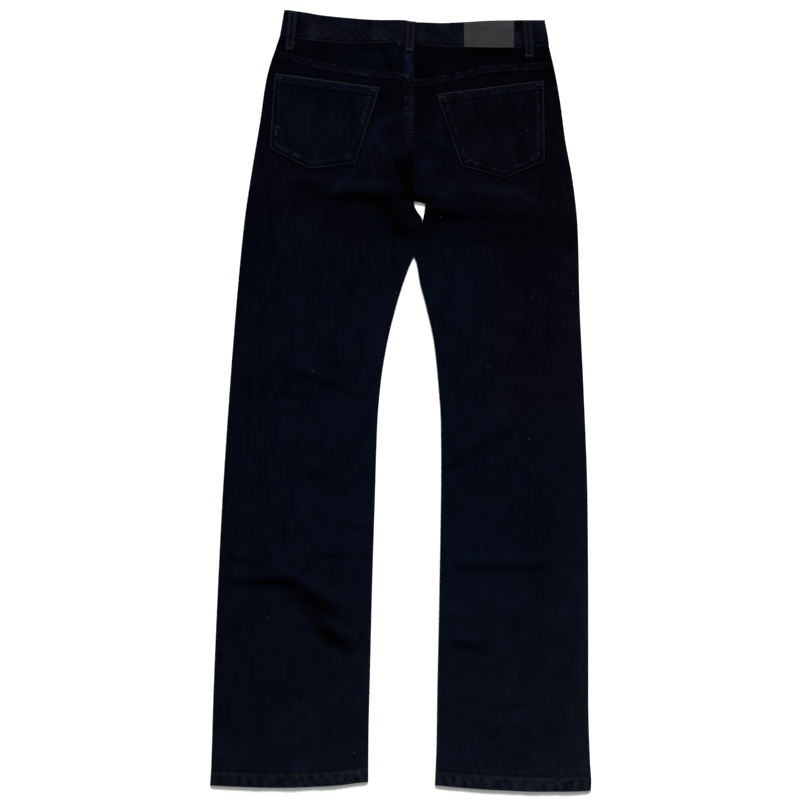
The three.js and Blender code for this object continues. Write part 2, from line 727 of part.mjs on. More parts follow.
function backPocket(pocket) {
  const columns = Array.from({ length: POCKET_COLUMNS + 1 }, (_, i) => i / POCKET_COLUMNS);
  const mix = (a, b, t) => [lerp(a[0], b[0], t), lerp(a[1], b[1], t)];
  const lower = (u) =>
    u < POCKET_POINT
      ? mix(pocket.lowerLeft, pocket.point, u / POCKET_POINT)
      : mix(pocket.point, pocket.lowerRight, (u - POCKET_POINT) / (1 - POCKET_POINT));
  const grid = (lift, hemLift) =>
    POCKET_ROWS.map((v) =>
      columns.map((u) => {
        const [x, y] = mix(mix(pocket.topLeft, pocket.topRight, u), lower(u), v);
        return [x, y, backTop(pocket.side, x, y) + lift + (v <= POCKET_HEM ? hemLift : 0)];
      }),
    );
  return piece(pocket.name, wall(grid(POCKET_GAP + CLOTH, FELL_RISE), grid(POCKET_GAP, 0)), denim);
}

// A belt loop on the back, from over the waistband's upper edge down to its bar tack on the yoke.
function backLoop(loop) {
  const top = waistTop(loop.top) - LOOP_START;
  const grid = (lift) =>
    LOOP_ROWS.map((share) =>
      [-0.5, 0.5].map((half) => {
        const x = lerp(loop.top, loop.foot, share) + half * LOOP_WIDTH;
        const y = lerp(top, loop.end, share);
        const arch = LOOP_ARCH * Math.sin(Math.PI * share);
        const onYoke = y < waistSeam(x);
        const yokeTop = backTop(x < CENTRE ? "left" : "right", x, y) + loop.raised;
        const under = onYoke ? yokeTop : bandTop(x);
        return [x, y, under + lift + arch];
      }),
    );
  return piece(loop.name, wall(grid(GAP + LOOP), grid(GAP)), denimWorn);
}

function frontLoop(loop) {
  const rows = [0, 0.5, 1];
  const grid = (height) =>
    rows.map((share) =>
      [-0.5, 0.5].map((half) => {
        const x = loop.x + half * LOOP_WIDTH;
        const y = lerp(frontTop(x), frontSeam(x), share);
        return [x, y, height];
      }),
    );
  return piece(loop.name, wall(grid(0), grid(LOOP)), denimWorn);
}

function waistPatch() {
  const columns = [0, 0.2, 0.4, 0.6, 0.8, 1];
  const rows = [0, 0.5, 1];
  const grid = (lift) =>
    rows.map((share) =>
      columns.map((across) => {
        const x = lerp(WAIST_PATCH.left, WAIST_PATCH.right, across);
        const [top, low] = [waistTop(x) - WAIST_PATCH.below, waistSeam(x) + WAIST_PATCH.above];
        return [x, lerp(top, low, share), bandTop(x) + lift];
      }),
    );
  return piece("waist_patch", wall(grid(GAP + PATCH), grid(GAP)), leather);
}

function zipFly() {
  const rows = [ZIP_FLY.top, ZIP_FLY.bottom];
  const grid = (height) => rows.map((y) => [ZIP_FLY.left, ZIP_FLY.right].map((x) => [x, y, height]));
  return piece("zip_fly", wall(grid(2 * CLOTH + GAP), grid(CLOTH + GAP)), tape);
}

function waistButton() {
  const profile = [
    [0, 0],
    [BUTTON.radius - BUTTON.bevel, 0],
    [BUTTON.radius, BUTTON.bevel],
    [BUTTON.radius, BUTTON.rim],
    [BUTTON.shank, BUTTON.height],
    [0, BUTTON.height],
  ].map(([r, z]) => new THREE.Vector2(r, z));
  const button = piece("waist_button", new THREE.LatheGeometry(profile, 20), metal);
  const middle = (frontTop(CENTRE) + frontSeam(CENTRE)) / 2;
  button.rotation.x = Math.PI / 2;
  button.position.set(CENTRE, middle, 0);
  return button;
}

const group = new THREE.Group();
for (const side of ["left", "right"]) {
  group.add(frontPanel(side), pocketFacing(side), backPanel(side), yoke(side));
}
group.add(waistband(), zipFly(), waistButton(), waistPatch());
group.add(...POCKETS.map(backPocket), ...BACK_LOOPS.map(backLoop), ...FRONT_LOOPS.map(frontLoop));

export default group;
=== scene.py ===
# Straight leg jeans laid flat with the back up.
# Sizes and tables are in millimetres, as in the part's source, and meshes are made in metres.
# Left and right are the wearer's. X runs to the right, Y up to the waist, Z up from the floor.

import json
import math
import bpy
import numpy as np
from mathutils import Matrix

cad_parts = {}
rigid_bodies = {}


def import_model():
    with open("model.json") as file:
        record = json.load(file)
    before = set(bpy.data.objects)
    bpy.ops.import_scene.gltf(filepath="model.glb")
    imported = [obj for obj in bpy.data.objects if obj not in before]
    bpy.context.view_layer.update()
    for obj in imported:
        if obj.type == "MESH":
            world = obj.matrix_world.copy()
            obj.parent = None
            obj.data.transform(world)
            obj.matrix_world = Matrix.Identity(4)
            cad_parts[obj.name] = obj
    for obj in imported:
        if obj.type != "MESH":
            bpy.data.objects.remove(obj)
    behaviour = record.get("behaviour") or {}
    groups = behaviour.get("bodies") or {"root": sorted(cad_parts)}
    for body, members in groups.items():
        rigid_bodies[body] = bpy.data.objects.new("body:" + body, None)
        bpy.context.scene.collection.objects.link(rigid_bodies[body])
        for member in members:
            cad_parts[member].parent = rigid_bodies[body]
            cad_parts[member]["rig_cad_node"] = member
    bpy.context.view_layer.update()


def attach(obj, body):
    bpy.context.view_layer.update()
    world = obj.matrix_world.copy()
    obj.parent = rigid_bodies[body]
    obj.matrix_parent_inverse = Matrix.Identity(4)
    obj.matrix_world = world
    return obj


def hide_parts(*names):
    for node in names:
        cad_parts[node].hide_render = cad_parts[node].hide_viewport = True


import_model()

MM = 0.001

# Cloth and seams
CLOTH = 1.2
BAND = 2.2
PATCH = 1.5
LOOP = 1.6
GAP = 0.3
MEET = 0.02 # where the two sides touch, each keeps this far from the line
SEAM_HEIGHT = 1.8
BACK_TURN = 6
FRONT_TURN = 3
FELL_WIDTH = 10.5
FELL_RISE = 1
CENTRE_FELL_WIDTH = 14.5
HEM_DEPTH = 20
HEM_RISE = 0.9

# Waist
FRONT_DIP = 20
LAP = 20
LAP_REACH = LAP + 2
LAP_EASE = 26
BAND_AIR = 0.4
BAND_DEPTH = 37 # from its upper edge to its seam, on average

# Levels along Y, and the centre seam's X
YOKE_LEVEL = 468
HEM_LEVEL = -550
SEAT_END = 300
CROTCH = 281
WAIST_SLOPE_FROM, WAIST_SLOPE_RUN = 440, 40
HEM_FINE = HEM_LEVEL + 26 # below this the rows of points are closer
ROWS_STRAIGHTEN = 84 # over this length they turn from the line of a seam or hem to level
CENTRE = 18.9

# How the cloth rises in from its edges
EDGE_HEIGHT = 3.9
CROWN_WIDTH = 60
LEGS_APART = 60
FOLD_EDGE = 24
LOWEST_TOP = 2.9

# Outlines: y, x
LEFT_OUT = [
    (553, -165.6), (514, -172.6), (497, -178.6), (483, -183.6), (455, -191),
    (398, -199.4), (341, -208.9), (256, -221.7), (140, -233), (26, -242),
    (-144, -253.3), (-315, -261.7), (-428, -266.2), (-514, -268.8), (-546, -270.6),
]
RIGHT_OUT = [
    (540, 204.6), (510, 210), (497, 211.2), (483, 215.4), (426, 226.2),
    (370, 233.7), (313, 244.1), (256, 250.6), (228, 252), (140, 254), (26, 259.3),
    (-144, 265.4), (-287, 266.4), (-428, 266.5), (-514, 269), (-540, 270.6), (-554, 270.2),
]
TOUCHING = [(256, 31), (205, 18.8)]
LEFT_IN = [
    (281, 18.75), (278.8, 19.4), (273, 21), (256, 30.85), (205, 18.65), (197, 14.8),
    (168, 4), (140, -4.8), (83, -18.9), (26, -28.1), (-31, -32.9), (-144, -36.6),
    (-258, -40.2), (-372, -43), (-485, -45.6), (-550, -45.9),
]
RIGHT_IN = [
    (283.5, 19.05), (281, 34.8), (268, 33.7), (256, 31.15), (205, 18.95), (199, 22),
    (168, 27.5), (140, 34.9), (83, 47.4), (26, 53.4), (-31, 57.1), (-88, 57.5),
    (-258, 55.2), (-428, 51.8), (-485, 51), (-550, 48.4),
]

# Waistband: x, upper edge, seam
WAIST = [
    (-165, 554.5, 518.2), (-142, 551.2, 512.9), (-114, 546.6, 509.5), (-78, 543, 506.3),
    (-40, 540.8, 507), (0, 540, 508.2), (24, 536.6, 503.8), (56, 536, 502),
    (89, 537.3, 501), (142, 539.5, 500.2), (184, 540.2, 501.6), (206, 540.2, 503.2),
]
# Seam between yokes and backs, and edge of the hems: x, y
YOKE_SEAM = [
    (-178, 498.6), (-135, 486.9), (-112, 480.5), (-78, 474.8), (-34, 468.6), (-7, 466.6),
    (7, 462.6), (18.9, 456.3), (42, 457.7), (72, 464.1), (99, 469.8), (123, 475),
    (159, 477.2), (216, 481.6),
]
HEM = [
    (-270, -545.7), (-227, -547.7), (-170, -549), (-114, -547.2), (-85, -545.2),
    (-46, -541), (49, -545.5), (85, -548.9), (142, -552.6), (198, -554.5),
    (248, -554.2), (270, -553.1),
]
# Height over the middle of each leg: y, z
PUFF = [
    (517, 4), (480, 4.5), (440, 5.6), (380, 6.2), (320, 6.4), (250, 6.2), (190, 5.6),
    (120, 5.2), (-20, 5), (-150, 5.2), (-260, 5.4), (-400, 4.8), (-554, 4.4),
]

# How light the cloth is drawn, darker towards the waist and lighter towards the hems: y, tone
TONE = [
    (560, 0.38), (480, 0.4), (440, 0.58), (300, 0.62), (200, 0.72), (100, 0.78), (0, 0.82),
    (-150, 0.84), (-250, 0.86), (-350, 0.86), (-450, 0.95), (-550, 1.16),
]

# Folds, by what they lie on: x, y, angle, length, bend, rise, above, below. The seat is both sides.
FOLDS = {
    "seat": [
        (47, 357, -28, 78, 12, 2, 14, 13), (12, 308, -68, 84, 0, -3.6, 13, 15),
    ],
    "left": [
        (-59, 294, 0, 140, 4, 6, 22, 16), (-3, 261, -58, 84, 0, 4.6, 12, 22),
        (4, 240, -8, 46, 2, 3, 11, 17), (-128, 312, -3, 80, 0, 2, 14, 18),
        (-124, 246, 15, 120, 4, 1.8, 22, 22), (-116, 38, -22, 120, -4, 3.4, 22, 13),
        (-144, 14, -4, 92, 0, 2.2, 13, 12), (-122, -101, -8, 66, 2, 1.8, 16, 13),
        (-206, -252, 3, 130, 3, 4.5, 20, 15), (-122, -274, -27, 112, 3, 4.8, 18, 16),
        (-93, -327, -34, 84, 2, 4, 16, 16), (-219, -226, -20, 66, 2, 2, 14, 12),
    ],
    "right": [
        (116, 281, -12, 226, 12, 5, 25, 30), (128, 261, -5, 196, 4, 3.2, 24, 15),
        (118, -50, 33, 154, 0, 3.4, 22, 12), (150, -222, 0, 216, -9, 3.6, 20, 14),
        (95, -339, 0, 58, 0, 2.4, 14, 15),
    ],
}

# Finer creases, by the same columns, which only this model has
CREASES = {
    "seat": [
        (-32, 376, 46, 104, 7, 2, 11, 12), (-22, 347, -56, 60, 0, 1.8, 8, 7),
        (-17, 335, -60, 50, 0, -1.2, 5, 5), (37, 331, 0, 48, 1, 1.5, 10, 9),
        (-13, 436, 82, 52, 0, -0.9, 12, 12), (-4, 372, 70, 40, 0, -0.7, 7, 7),
        (24, 478, 86, 46, 0, -1.3, 8, 7), (40, 488, 78, 52, -5, 1.1, 7, 6),
        (-20, 484, -54, 46, 3, -1.3, 5, 5), (-134, 497, 24, 40, 0, -0.8, 5, 5),
        (-66, 488, 8, 70, 0, 0.7, 12, 10),
    ],
    "left": [
        (-79, 309, 45, 60, 0, 1.6, 9, 8), (-152, 244, 70, 60, 0, 1.2, 14, 14),
        (-54, 12, -4, 52, 0, 1.3, 9, 7), (-57, 60, 0, 40, 0, 1, 9, 7),
        (-56, -175, 0, 50, 0, 1.5, 10, 7), (-115, -214, -8, 60, 0, 1.3, 10, 8),
        (-63, -222, 0, 36, 0, 0.9, 9, 7), (-196, 40, -6, 60, 0, 0.8, 12, 9),
        (-170, -400, -12, 70, 0, 0.6, 12, 10),
    ],
    "right": [
        (39, 241, 26, 40, 0, 1.1, 6, 6), (42, 223, 30, 44, 0, 1, 6, 6),
        (51, 303, -12, 74, 2, 1.4, 10, 9), (174, 284, -26, 92, 2, 1.4, 10, 9),
        (87, 32, 10, 56, 0, 1.4, 10, 8), (94, -304, -12, 62, -2, 1.9, 12, 9),
        (128, 52, 78, 70, 0, -1.2, 17, 17), (188, -291, 60, 70, 0, -1, 18, 18),
        (235, -390, 88, 96, 0, -1, 6, 6), (170, -430, 10, 60, 0, 0.7, 10, 9),
    ],
}

# Painted light and shade on the cloth: painted shadows in the crotch, under the folds and under the
# waistband, and painted highlights on the folds' lit sides, by the same columns, with the change of tone
# for the rise
PAINTED_LIGHT_AND_SHADE = {
    "seat": [
        (21, 288, -28, 44, 0, -1.7, 12, 12), (-21, 355, -65, 74, 0, 0.45, 9, 13),
        (-12, 401, 22, 46, 2, 0.6, 10, 9), (-38, 376, 56, 86, 0, 0.5, 16, 18),
        (-51, 355, 44, 60, 0, 0.25, 20, 16), (-24, 432, 80, 80, 0, -0.6, 22, 24),
        (34, 418, 84, 130, 0, -0.5, 18, 28), (-7, 494, 80, 42, 0, 0.9, 13, 13),
        (-23, 486, -60, 62, 2, -0.85, 5, 6),
    ],
    "left": [
        (7, 311, -64, 96, 0, -1.7, 16, 8), (14, 326, -88, 66, 0, -1.7, 12, 9),
        (12, 482, 90, 56, 0, 2, 11, 11), (12, 446, 90, 34, 0, -0.5, 10, 10),
        (-64, 288, 0, 126, 4, -0.75, 5, 20), (-26, 272, -30, 84, 0, -0.42, 14, 28),
        (-2, 264, -48, 134, 0, -0.66, 56, 28), (6, 237, -12, 60, 2, -0.42, 14, 16),
        (-48, 250, -24, 130, 0, -0.38, 28, 36), (-120, 278, 0, 120, 0, -0.14, 20, 24),
        (-46, 303, 2, 100, 3, 0.5, 12, 7), (-83, 310, 48, 56, 0, 0.7, 10, 10),
        (-131, 300, 3, 72, 0, -0.35, 14, 18), (-145, 242, 25, 84, 0, 0.28, 32, 30),
        (-111, 200, 0, 70, 0, -0.12, 30, 30), (-125, 493, 12, 66, 0, -0.35, 16, 14),
        (-44, 486, 10, 80, 0, 0.9, 16, 16), (-142, 32, 0, 170, 0, -0.14, 44, 44),
        (-111, 30, -20, 60, -3, -0.35, 4, 12), (-145, 8, -3, 80, 0, -0.35, 4, 9),
        (-122, -105, -8, 42, 0, -0.35, 6, 12), (-178, -258, 0, 98, 3, -0.8, 11, 16),
        (-126, -284, -30, 116, 0, -0.9, 24, 27), (-98, -335, -32, 88, 0, -0.85, 17, 19),
        (-120, -311, -40, 70, 0, -0.3, 14, 14), (-58, -180, 0, 40, 0, -0.3, 6, 7),
        (-96, -464, 0, 70, 0, -0.15, 20, 20), (-208, -233, -18, 86, 0, -0.3, 8, 9),
        (-98, -219, -8, 40, 0, -0.45, 5, 6), (-34, 92, 84, 120, 0, 0.26, 24, 24),
        (-148, -424, 0, 110, 0, -0.2, 34, 34),
    ],
    "right": [
        (37, 332, 8, 46, 0, 0.7, 14, 16), (48, 357, -26, 68, 13, 0.5, 8, 9),
        (58, 345, -20, 44, 0, -0.2, 12, 16), (50, 296, -8, 68, 2, 0.8, 10, 10),
        (74, 318, -10, 70, 0, -0.3, 16, 14), (142, 297, 2, 84, 0, 0.45, 9, 7),
        (187, 281, -34, 64, 0, 0.4, 9, 7), (135, 258, -3, 240, 3, -0.45, 26, 11),
        (152, 236, -4, 330, 0, -0.5, 34, 36), (60, 262, -8, 74, 0, -0.45, 24, 16),
        (38, 248, 70, 84, 0, -0.5, 24, 22), (212, 486, 80, 84, 0, -0.45, 22, 22),
        (24, 480, 88, 64, 0, -0.5, 8, 10), (41, 480, 80, 50, -4, 0.4, 6, 6),
        (110, 492, 0, 230, 0, -0.5, 14, 22), (127, -60, 31, 134, 0, -0.42, 6, 11),
        (108, -350, 20, 70, 0, -0.2, 18, 18), (168, -432, 0, 40, 0, -0.35, 8, 7),
        (129, -470, 10, 80, 0, -0.18, 18, 18), (212, 350, 82, 190, 0, -0.24, 40, 34),
        (178, 128, 88, 260, 0, -0.2, 64, 70), (96, 150, 90, 150, 0, 0.24, 28, 28),
        (80, 90, 88, 120, 0, 0.16, 26, 26), (194, -235, 90, 280, 0, -0.16, 38, 36),
        (89, -21, 60, 60, 0, 0.15, 24, 24), (78, -89, 22, 44, 0, -0.4, 4, 10),
        (113, -236, 0, 84, -2, -0.35, 4, 10), (181, -173, 0, 76, 0, -0.13, 40, 40),
        (93, -345, -3, 46, 0, -0.35, 6, 14),
    ],
}

# The same painted light and shade for the back pockets
POCKET_PAINTED_LIGHT_AND_SHADE = {
    "left": [
        (-130, 398, 88, 84, 0, 0.3, 10, 8), (-88, 420, 20, 90, 0, -0.14, 16, 16),
        (-150, 352, 20, 90, 0, 0.18, 24, 24), (-66, 350, 60, 90, 0, -0.24, 20, 20),
    ],
    "right": [
        (128, 392, 20, 130, 0, -0.16, 30, 30), (186, 400, 90, 110, 0, -0.16, 26, 26),
    ],
}

# Creases of the hidden front, which lies on the floor, so that they stand up from it
FRONT_CREASES = {
    "left": [
        (-96, 322, 28, 96, 4, 0.9, 14, 12), (-44, 268, -34, 84, 3, 0.8, 12, 15),
        (-150, 232, 12, 104, -5, 0.7, 16, 12), (-128, 22, -16, 118, 5, 0.8, 15, 12),
        (-150, -258, 9, 132, -6, 0.9, 13, 16), (-104, -344, -22, 76, 0, 0.7, 12, 10),
    ],
    "right": [
        (108, 318, -24, 110, 5, 0.9, 13, 15), (150, 244, -6, 150, -6, 0.8, 16, 13),
        (68, 236, 34, 62, 0, 0.7, 11, 13), (158, 8, 18, 96, 4, 0.7, 14, 12),
        (132, -196, -8, 140, 6, 0.9, 14, 15), (186, -322, 24, 70, 0, 0.6, 12, 12),
    ],
}

# Back pockets: upper left corner, upper right, lower right, point, lower left
POCKETS = {
    "left": [(-178.8, 464.3), (-29.3, 444), (-64.8, 336.2), (-129.4, 328.7), (-185.7, 357.8)],
    "right": [(50.6, 434.7), (202.8, 454.3), (204.2, 339.2), (147, 315.9), (86.1, 333.3)],
}
POCKET_GAP = 0.6
POCKET_HEM = 12
POCKET_POINT = 0.52 # where the point lies, as a share of the width

# Front pocket mouths, zip and button
MOUTH_FOOT, MOUTH_TOP, MOUTH_WIDTH = 412, 500, 92
MOUTH_SHARES = (1, 0.8, 0.62, 0.46, 0.33, 0.22, 0.14, 0.08, 0.03) # rows of points, from the top down
ZIP_LEFT, ZIP_RIGHT, ZIP_TOP, ZIP_BOTTOM = 4, 36, 479, 338
ZIP_LIE = 2 * CLOTH + GAP # where the tape's upper face lies
TOOTH_PITCH = 2.1
TOOTH_SIZE = (3.4, 1.3, 0.9)
BUTTON_RADIUS, BUTTON_HEIGHT = 8.5, 1.6

# Belt loops on the back: name, X at the top, X at the foot, Y of the foot, cloth under the foot
BACK_LOOPS = [
    ("belt_loop_back_left", -152.6, -157.6, 497, 0),
    ("belt_loop_centre_back", 14.6, 12.5, 494.5, FELL_RISE),
    ("belt_loop_back_right", 179.5, 182.9, 486, 0),
]
FRONT_LOOPS = [("belt_loop_front_left", -92), ("belt_loop_front_right", 128)]
LOOP_WIDTH = 13
LOOP_ARCH = 1.6 # how far its middle stands off
LOOP_START = 0.4 # how far below the waistband's upper edge it starts
TACK_TURNS = 14
TACK_OVER = GAP + LOOP + 0.4 # a loop's bar tacks lie this far over the cloth under it

PATCH_LEFT, PATCH_RIGHT, PATCH_BELOW, PATCH_ABOVE = 89.5, 160.9, 1.6, 0.2

LIFT_PAST = 6
LIFT_EASE = 20

# Stitch rows, in from the seam or edge that they follow
YOKE_ROWS = (1.3, 9)
CENTRE_ROWS = (1.4, 5.8, 12.6)
POCKET_ROWS = (1.8, 9.4)
POCKET_HEM_ROWS = (1.8, 10.4)
POCKET_START = 1.2 # how far below a pocket's top its sewn edges start
HEM_ROW = 18.6
BAND_ROW = 1.8
CENTRE_SEWN = (455, 348)
CROTCH_SEWN = (346, SEAT_END + 2)
MOUTH_ROWS = (2, 7)
FRONT_CENTRE_ROWS = (2, 6)
FLY_ROWS, FLY_BEND = (34, 40), 352
PUCKER = 5.3 # from one fine pucker of a sewn seam to the next
THREAD_LIFT = 0.1
PLAIN_LEVEL = 0.05 # height of the rows on the hidden front

# Surroundings
FLOOR_HALF, FLOOR_LOW = 12, -0.0008 # metres
KEY_FROM, KEY_STRENGTH, KEY_SPREAD = (0.5, 3, 2.5), 5.4, 24
SURROUND_STRENGTH = 0.45
PHOTO_PIXELS, PIXEL = 800, 1.42 # the photograph's width, and the millimetres in one pixel
CAMERA_X, CAMERA_Y, CAMERA_HEIGHT = -0.99, 1.2, 4.0 # the height is in metres
SENSOR = 36

SIDES = ("left", "right")
INWARD = {"left": 1, "right": -1} # the way along X in from a side's outer edge
QUARTER = np.radians(np.arange(0, 91, 15)) # the points of a bend


def ease(t):
    """Rises smoothly from 0 to 1 as t goes from 0 to 1."""
    s = np.clip(t, 0, 1)
    return s * s * (3 - 2 * s)


def lerp(a, b, t):
    return a + (b - a) * t


def hump(t):
    """Falls smoothly from 1 at the middle to 0 at t = 1 and t = -1."""
    return np.where(np.abs(t) < 1, 0.5 + 0.5 * np.cos(np.pi * t), 0)


def fade(distance, width):
    """1 at an edge, dying away from it."""
    return np.exp(-np.maximum(distance, 0) / width)


def line(distance, at, width):
    """1 on a line along an edge, dying away on both sides."""
    return np.exp(-(((distance - at) / width) ** 2))


def unit(vector):
    return vector / np.linalg.norm(vector, axis=-1, keepdims=True)


def curve(rows):
    """A smooth function through rows of position and value that never swings past them."""
    at, height = np.array(sorted(rows), float).T
    width = np.diff(at)
    slope = np.diff(height) / width
    product = slope[:-1] * slope[1:]
    total = np.where(product > 0, slope[:-1] + slope[1:], 1)
    middle = np.where(product > 0, 2 * product / total, 0)
    tangent = np.concatenate([slope[:1], middle, slope[-1:]])

    def value(position):
        p = np.clip(position, at[0], at[-1])
        i = np.clip(np.searchsorted(at, p) - 1, 0, len(width) - 1)
        s = (p - at[i]) / width[i]
        pull = s * (1 - s) * width[i] * ((1 - s) * tangent[i] - s * tangent[i + 1])
        return lerp(height[i], height[i + 1], ease(s)) + pull

    return value


def inner_edge(rows, shift):
    """The inner edge of one leg. Where the legs touch, both follow one line, a hair off it."""
    edge = curve(rows)
    (top, top_x), (end, end_x) = TOUCHING

    def value(y):
        shared = lerp(end_x, top_x, (y - end) / (top - end)) + shift
        apart_x = np.where(y > CROTCH, CENTRE + shift, edge(y))
        return np.where((y > top) | (y < end), apart_x, shared)

    return value


outer = {"left": curve(LEFT_OUT), "right": curve(RIGHT_OUT)}
inner = {"left": inner_edge(LEFT_IN, -MEET), "right": inner_edge(RIGHT_IN, MEET)}
waist_top = curve([(x, top) for x, top, seam in WAIST])
waist_seam = curve([(x, seam) for x, top, seam in WAIST])
yoke_seam = curve(YOKE_SEAM)
hem_edge = curve(HEM)
puff = curve(PUFF)
base_tone = curve(TONE)

band_end = {"left": float(outer["left"](WAIST[0][2])), "right": float(outer["right"](WAIST[-1][2]))}
UNDER_WAIST = [(CENTRE, BUTTON_RADIUS + LIFT_PAST, BUTTON_HEIGHT + GAP)] + [
    (x, LOOP_WIDTH / 2 + LIFT_PAST, LOOP + GAP) for name, x in FRONT_LOOPS
]


def apart(y, run=SEAT_END - CROTCH):
    """From 0 where the two sides are joined at the centre to 1 where the legs are apart."""
    return ease((CROTCH + run - y) / run)


def band_share(x):
    """How far along the waistband x is, from 0 at its left end to 1 at its right end."""
    return np.clip((x - band_end["left"]) / (band_end["right"] - band_end["left"]), 0, 1)


def front_line(x, left_y, right_y):
    share = band_share(x)
    return lerp(left_y, right_y, share) - FRONT_DIP * 4 * share * (1 - share)


def front_top(x):
    return front_line(x, WAIST[0][1], WAIST[-1][1])


def front_seam(x):
    return front_line(x, WAIST[0][2], WAIST[-1][2])


def band_x(x, y, seam):
    """X at height y of the waistband's line that starts at x on its seam."""
    left, right = (outer[side](y) - outer[side](seam) for side in SIDES)
    return x + lerp(left, right, band_share(x))


def waist_lift(x):
    """How far what lies under the front of the waistband lifts it off the floor."""
    lift = 0 * x
    for middle, half, rise in UNDER_WAIST:
        lift = np.maximum(lift, rise * (1 - ease((np.abs(x - middle) - half) / LIFT_EASE)))
    return lift


def waist_stack(x):
    lap = 1 - ease((np.abs(x - CENTRE) - LAP_REACH) / LAP_EASE)
    return waist_lift(x) + BAND + lap * (BAND + GAP)


def band_top(x):
    return waist_stack(x) + BAND_AIR + BAND


def fold_rise(fold, x, y):
    middle_x, middle_y, degrees, length, bend, rise, above, below = fold
    cos, sin = math.cos(math.radians(degrees)), math.sin(math.radians(degrees))
    dx, dy = x - middle_x, y - middle_y
    along = (dx * cos + dy * sin) / (length / 2)
    across = dy * cos - dx * sin - bend * (1 - along * along)
    width = np.where(across > 0, above, below)
    return np.where(np.abs(along) < 1, rise * np.cos(np.pi / 2 * along) * hump(across / width), 0)


def all_rise(folds, side, x, y):
    return sum(fold_rise(fold, x, y) for fold in folds.get("seat", []) + folds[side])


def ripple(x, y, size, seed):
    """Gentle unevenness, about 1 high, with waves near size in length."""
    draw = np.random.default_rng(seed)
    count = 12
    total = 0 * x
    for _ in range(count):
        angle = draw.uniform(0, np.pi)
        length = size * draw.uniform(0.6, 1.7)
        start = draw.uniform(0, 6.28)
        total = total + np.sin(2 * np.pi * (x * np.cos(angle) + y * np.sin(angle)) / length + start)
    return total / math.sqrt(count / 2)


def edge_gaps(side, x, y):
    """How far a point is from the outer and from the inner edge of its side."""
    return np.abs(x - outer[side](y)), np.abs(x - inner[side](y))


def draped(side, x, y):
    """Height of the back's cloth as it lies, before its edges turn down, with its folds and creases."""
    from_out, from_in = edge_gaps(side, x, y)
    legs = apart(y, LEGS_APART)

    def clear(width):
        return ease(from_out / width) * (1 - legs * (1 - ease(from_in / width)))

    air = lerp(EDGE_HEIGHT, puff(y), clear(CROWN_WIDTH))
    waist = (waist_stack(x) - BAND) * ease((y - WAIST_SLOPE_FROM) / WAIST_SLOPE_RUN)
    raised = all_rise(FOLDS, side, x, y) + all_rise(CREASES, side, x, y)
    raised = raised + 0.22 * ripple(x, y, 60, 3) + 0.1 * ripple(x, y, 24, 5)
    return np.maximum(LOWEST_TOP, air + waist + raised * clear(FOLD_EDGE))


def groove(distance, at, depth=0.35, width=0.7):
    return -depth * line(distance, at, width)


def band(distance, width, soft=1.2):
    """1 within width of an edge, falling to 0 just past it."""
    return 1 - ease((distance - width) / soft + 0.5)


def puckers(along, across, pitch, slant, seed):
    """Uneven short waves along a sewn seam, from -1 to 1."""
    draw = np.random.default_rng(seed)
    drift = draw.uniform(0, 6.28, 4)
    phase = 2 * np.pi * (along + slant * across) / pitch
    wander = 1.6 * np.sin(along / 31 + drift[0]) + 1.1 * np.sin(along / 13 + drift[1])
    size = 0.65 + 0.35 * np.sin(along / 19 + drift[2]) * np.sin(along / 47 + drift[3])
    return np.sin(phase + wander) * size


def seam_gaps(side, x, y):
    """How far a point is below the yoke seam, above the hem's edge, from the centre and the inseam."""
    return yoke_seam(x) - y, y - hem_edge(x), np.abs(CENTRE - x), edge_gaps(side, x, y)[1]


def layers(side, x, y):
    """1 on the felled seam of the yoke, on that of the centre, and on the hem."""
    below_yoke, above_hem, from_centre, _ = seam_gaps(side, x, y)
    on_yoke = (below_yoke > -GAP) * band(below_yoke, FELL_WIDTH)
    on_centre = (1 - apart(y)) * band(from_centre, CENTRE_FELL_WIDTH) * (side == "left")
    return on_yoke, on_centre, band(above_hem, HEM_DEPTH)


def sewn_rise(side, x, y):
    """How far the folded layers of a back stand up, and its stitch rows sink in."""
    below_yoke, above_hem, from_centre, from_in = seam_gaps(side, x, y)
    on_yoke, on_centre, on_hem = layers(side, x, y)
    rise = np.maximum(FELL_RISE * np.maximum(on_yoke, on_centre), HEM_RISE * on_hem)
    for row in YOKE_ROWS:
        rise = rise + groove(below_yoke, row)
    for row in CENTRE_ROWS:
        rise = rise + (1 - apart(y)) * groove(from_centre, row) * (side == "left")
    rise = rise + groove(above_hem, HEM_ROW)
    if side == "right":
        rise = rise + hump((y - 26) / 90) * groove(from_in, 22, 0.9, 2.2)
    return rise


def open_fell(y):
    """1 where the centre seam lies in the light, and 0 where it lies in shade."""
    return (1 - apart(y)) * ease((y - 342) / 60)


def fine_puckers(side, x, y):
    """The puckers that are closer than the points of the mesh, which the material makes as a bump and as
    painted light and shade on their sides.

    It reads their size, and their place along the seam counted in puckers.
    """
    below_yoke, above_hem, from_centre, _ = seam_gaps(side, x, y)
    near_yoke = hump((below_yoke - 1.8) / 3) + hump((below_yoke - 8) / 4)
    near_yoke = near_yoke * (1.3 if side == "left" else 1.6)
    near_centre = open_fell(y) * (hump((from_centre - 3.2) / 3) + hump((from_centre - 11) / 3.6))
    near_centre = near_centre * (1 if side == "left" else 0.2)
    along_yoke = near_yoke >= near_centre
    size = np.where(along_yoke, 0.8 * near_yoke, np.minimum(1, near_centre))
    beads = (y + 0.3 * from_centre) / PUCKER + 0.5 * (from_centre > 7)
    count = np.where(along_yoke, (x + 0.6 * below_yoke) / PUCKER, beads)
    return {"pucker": size + 0.2 * band(above_hem, 19), "along": count}


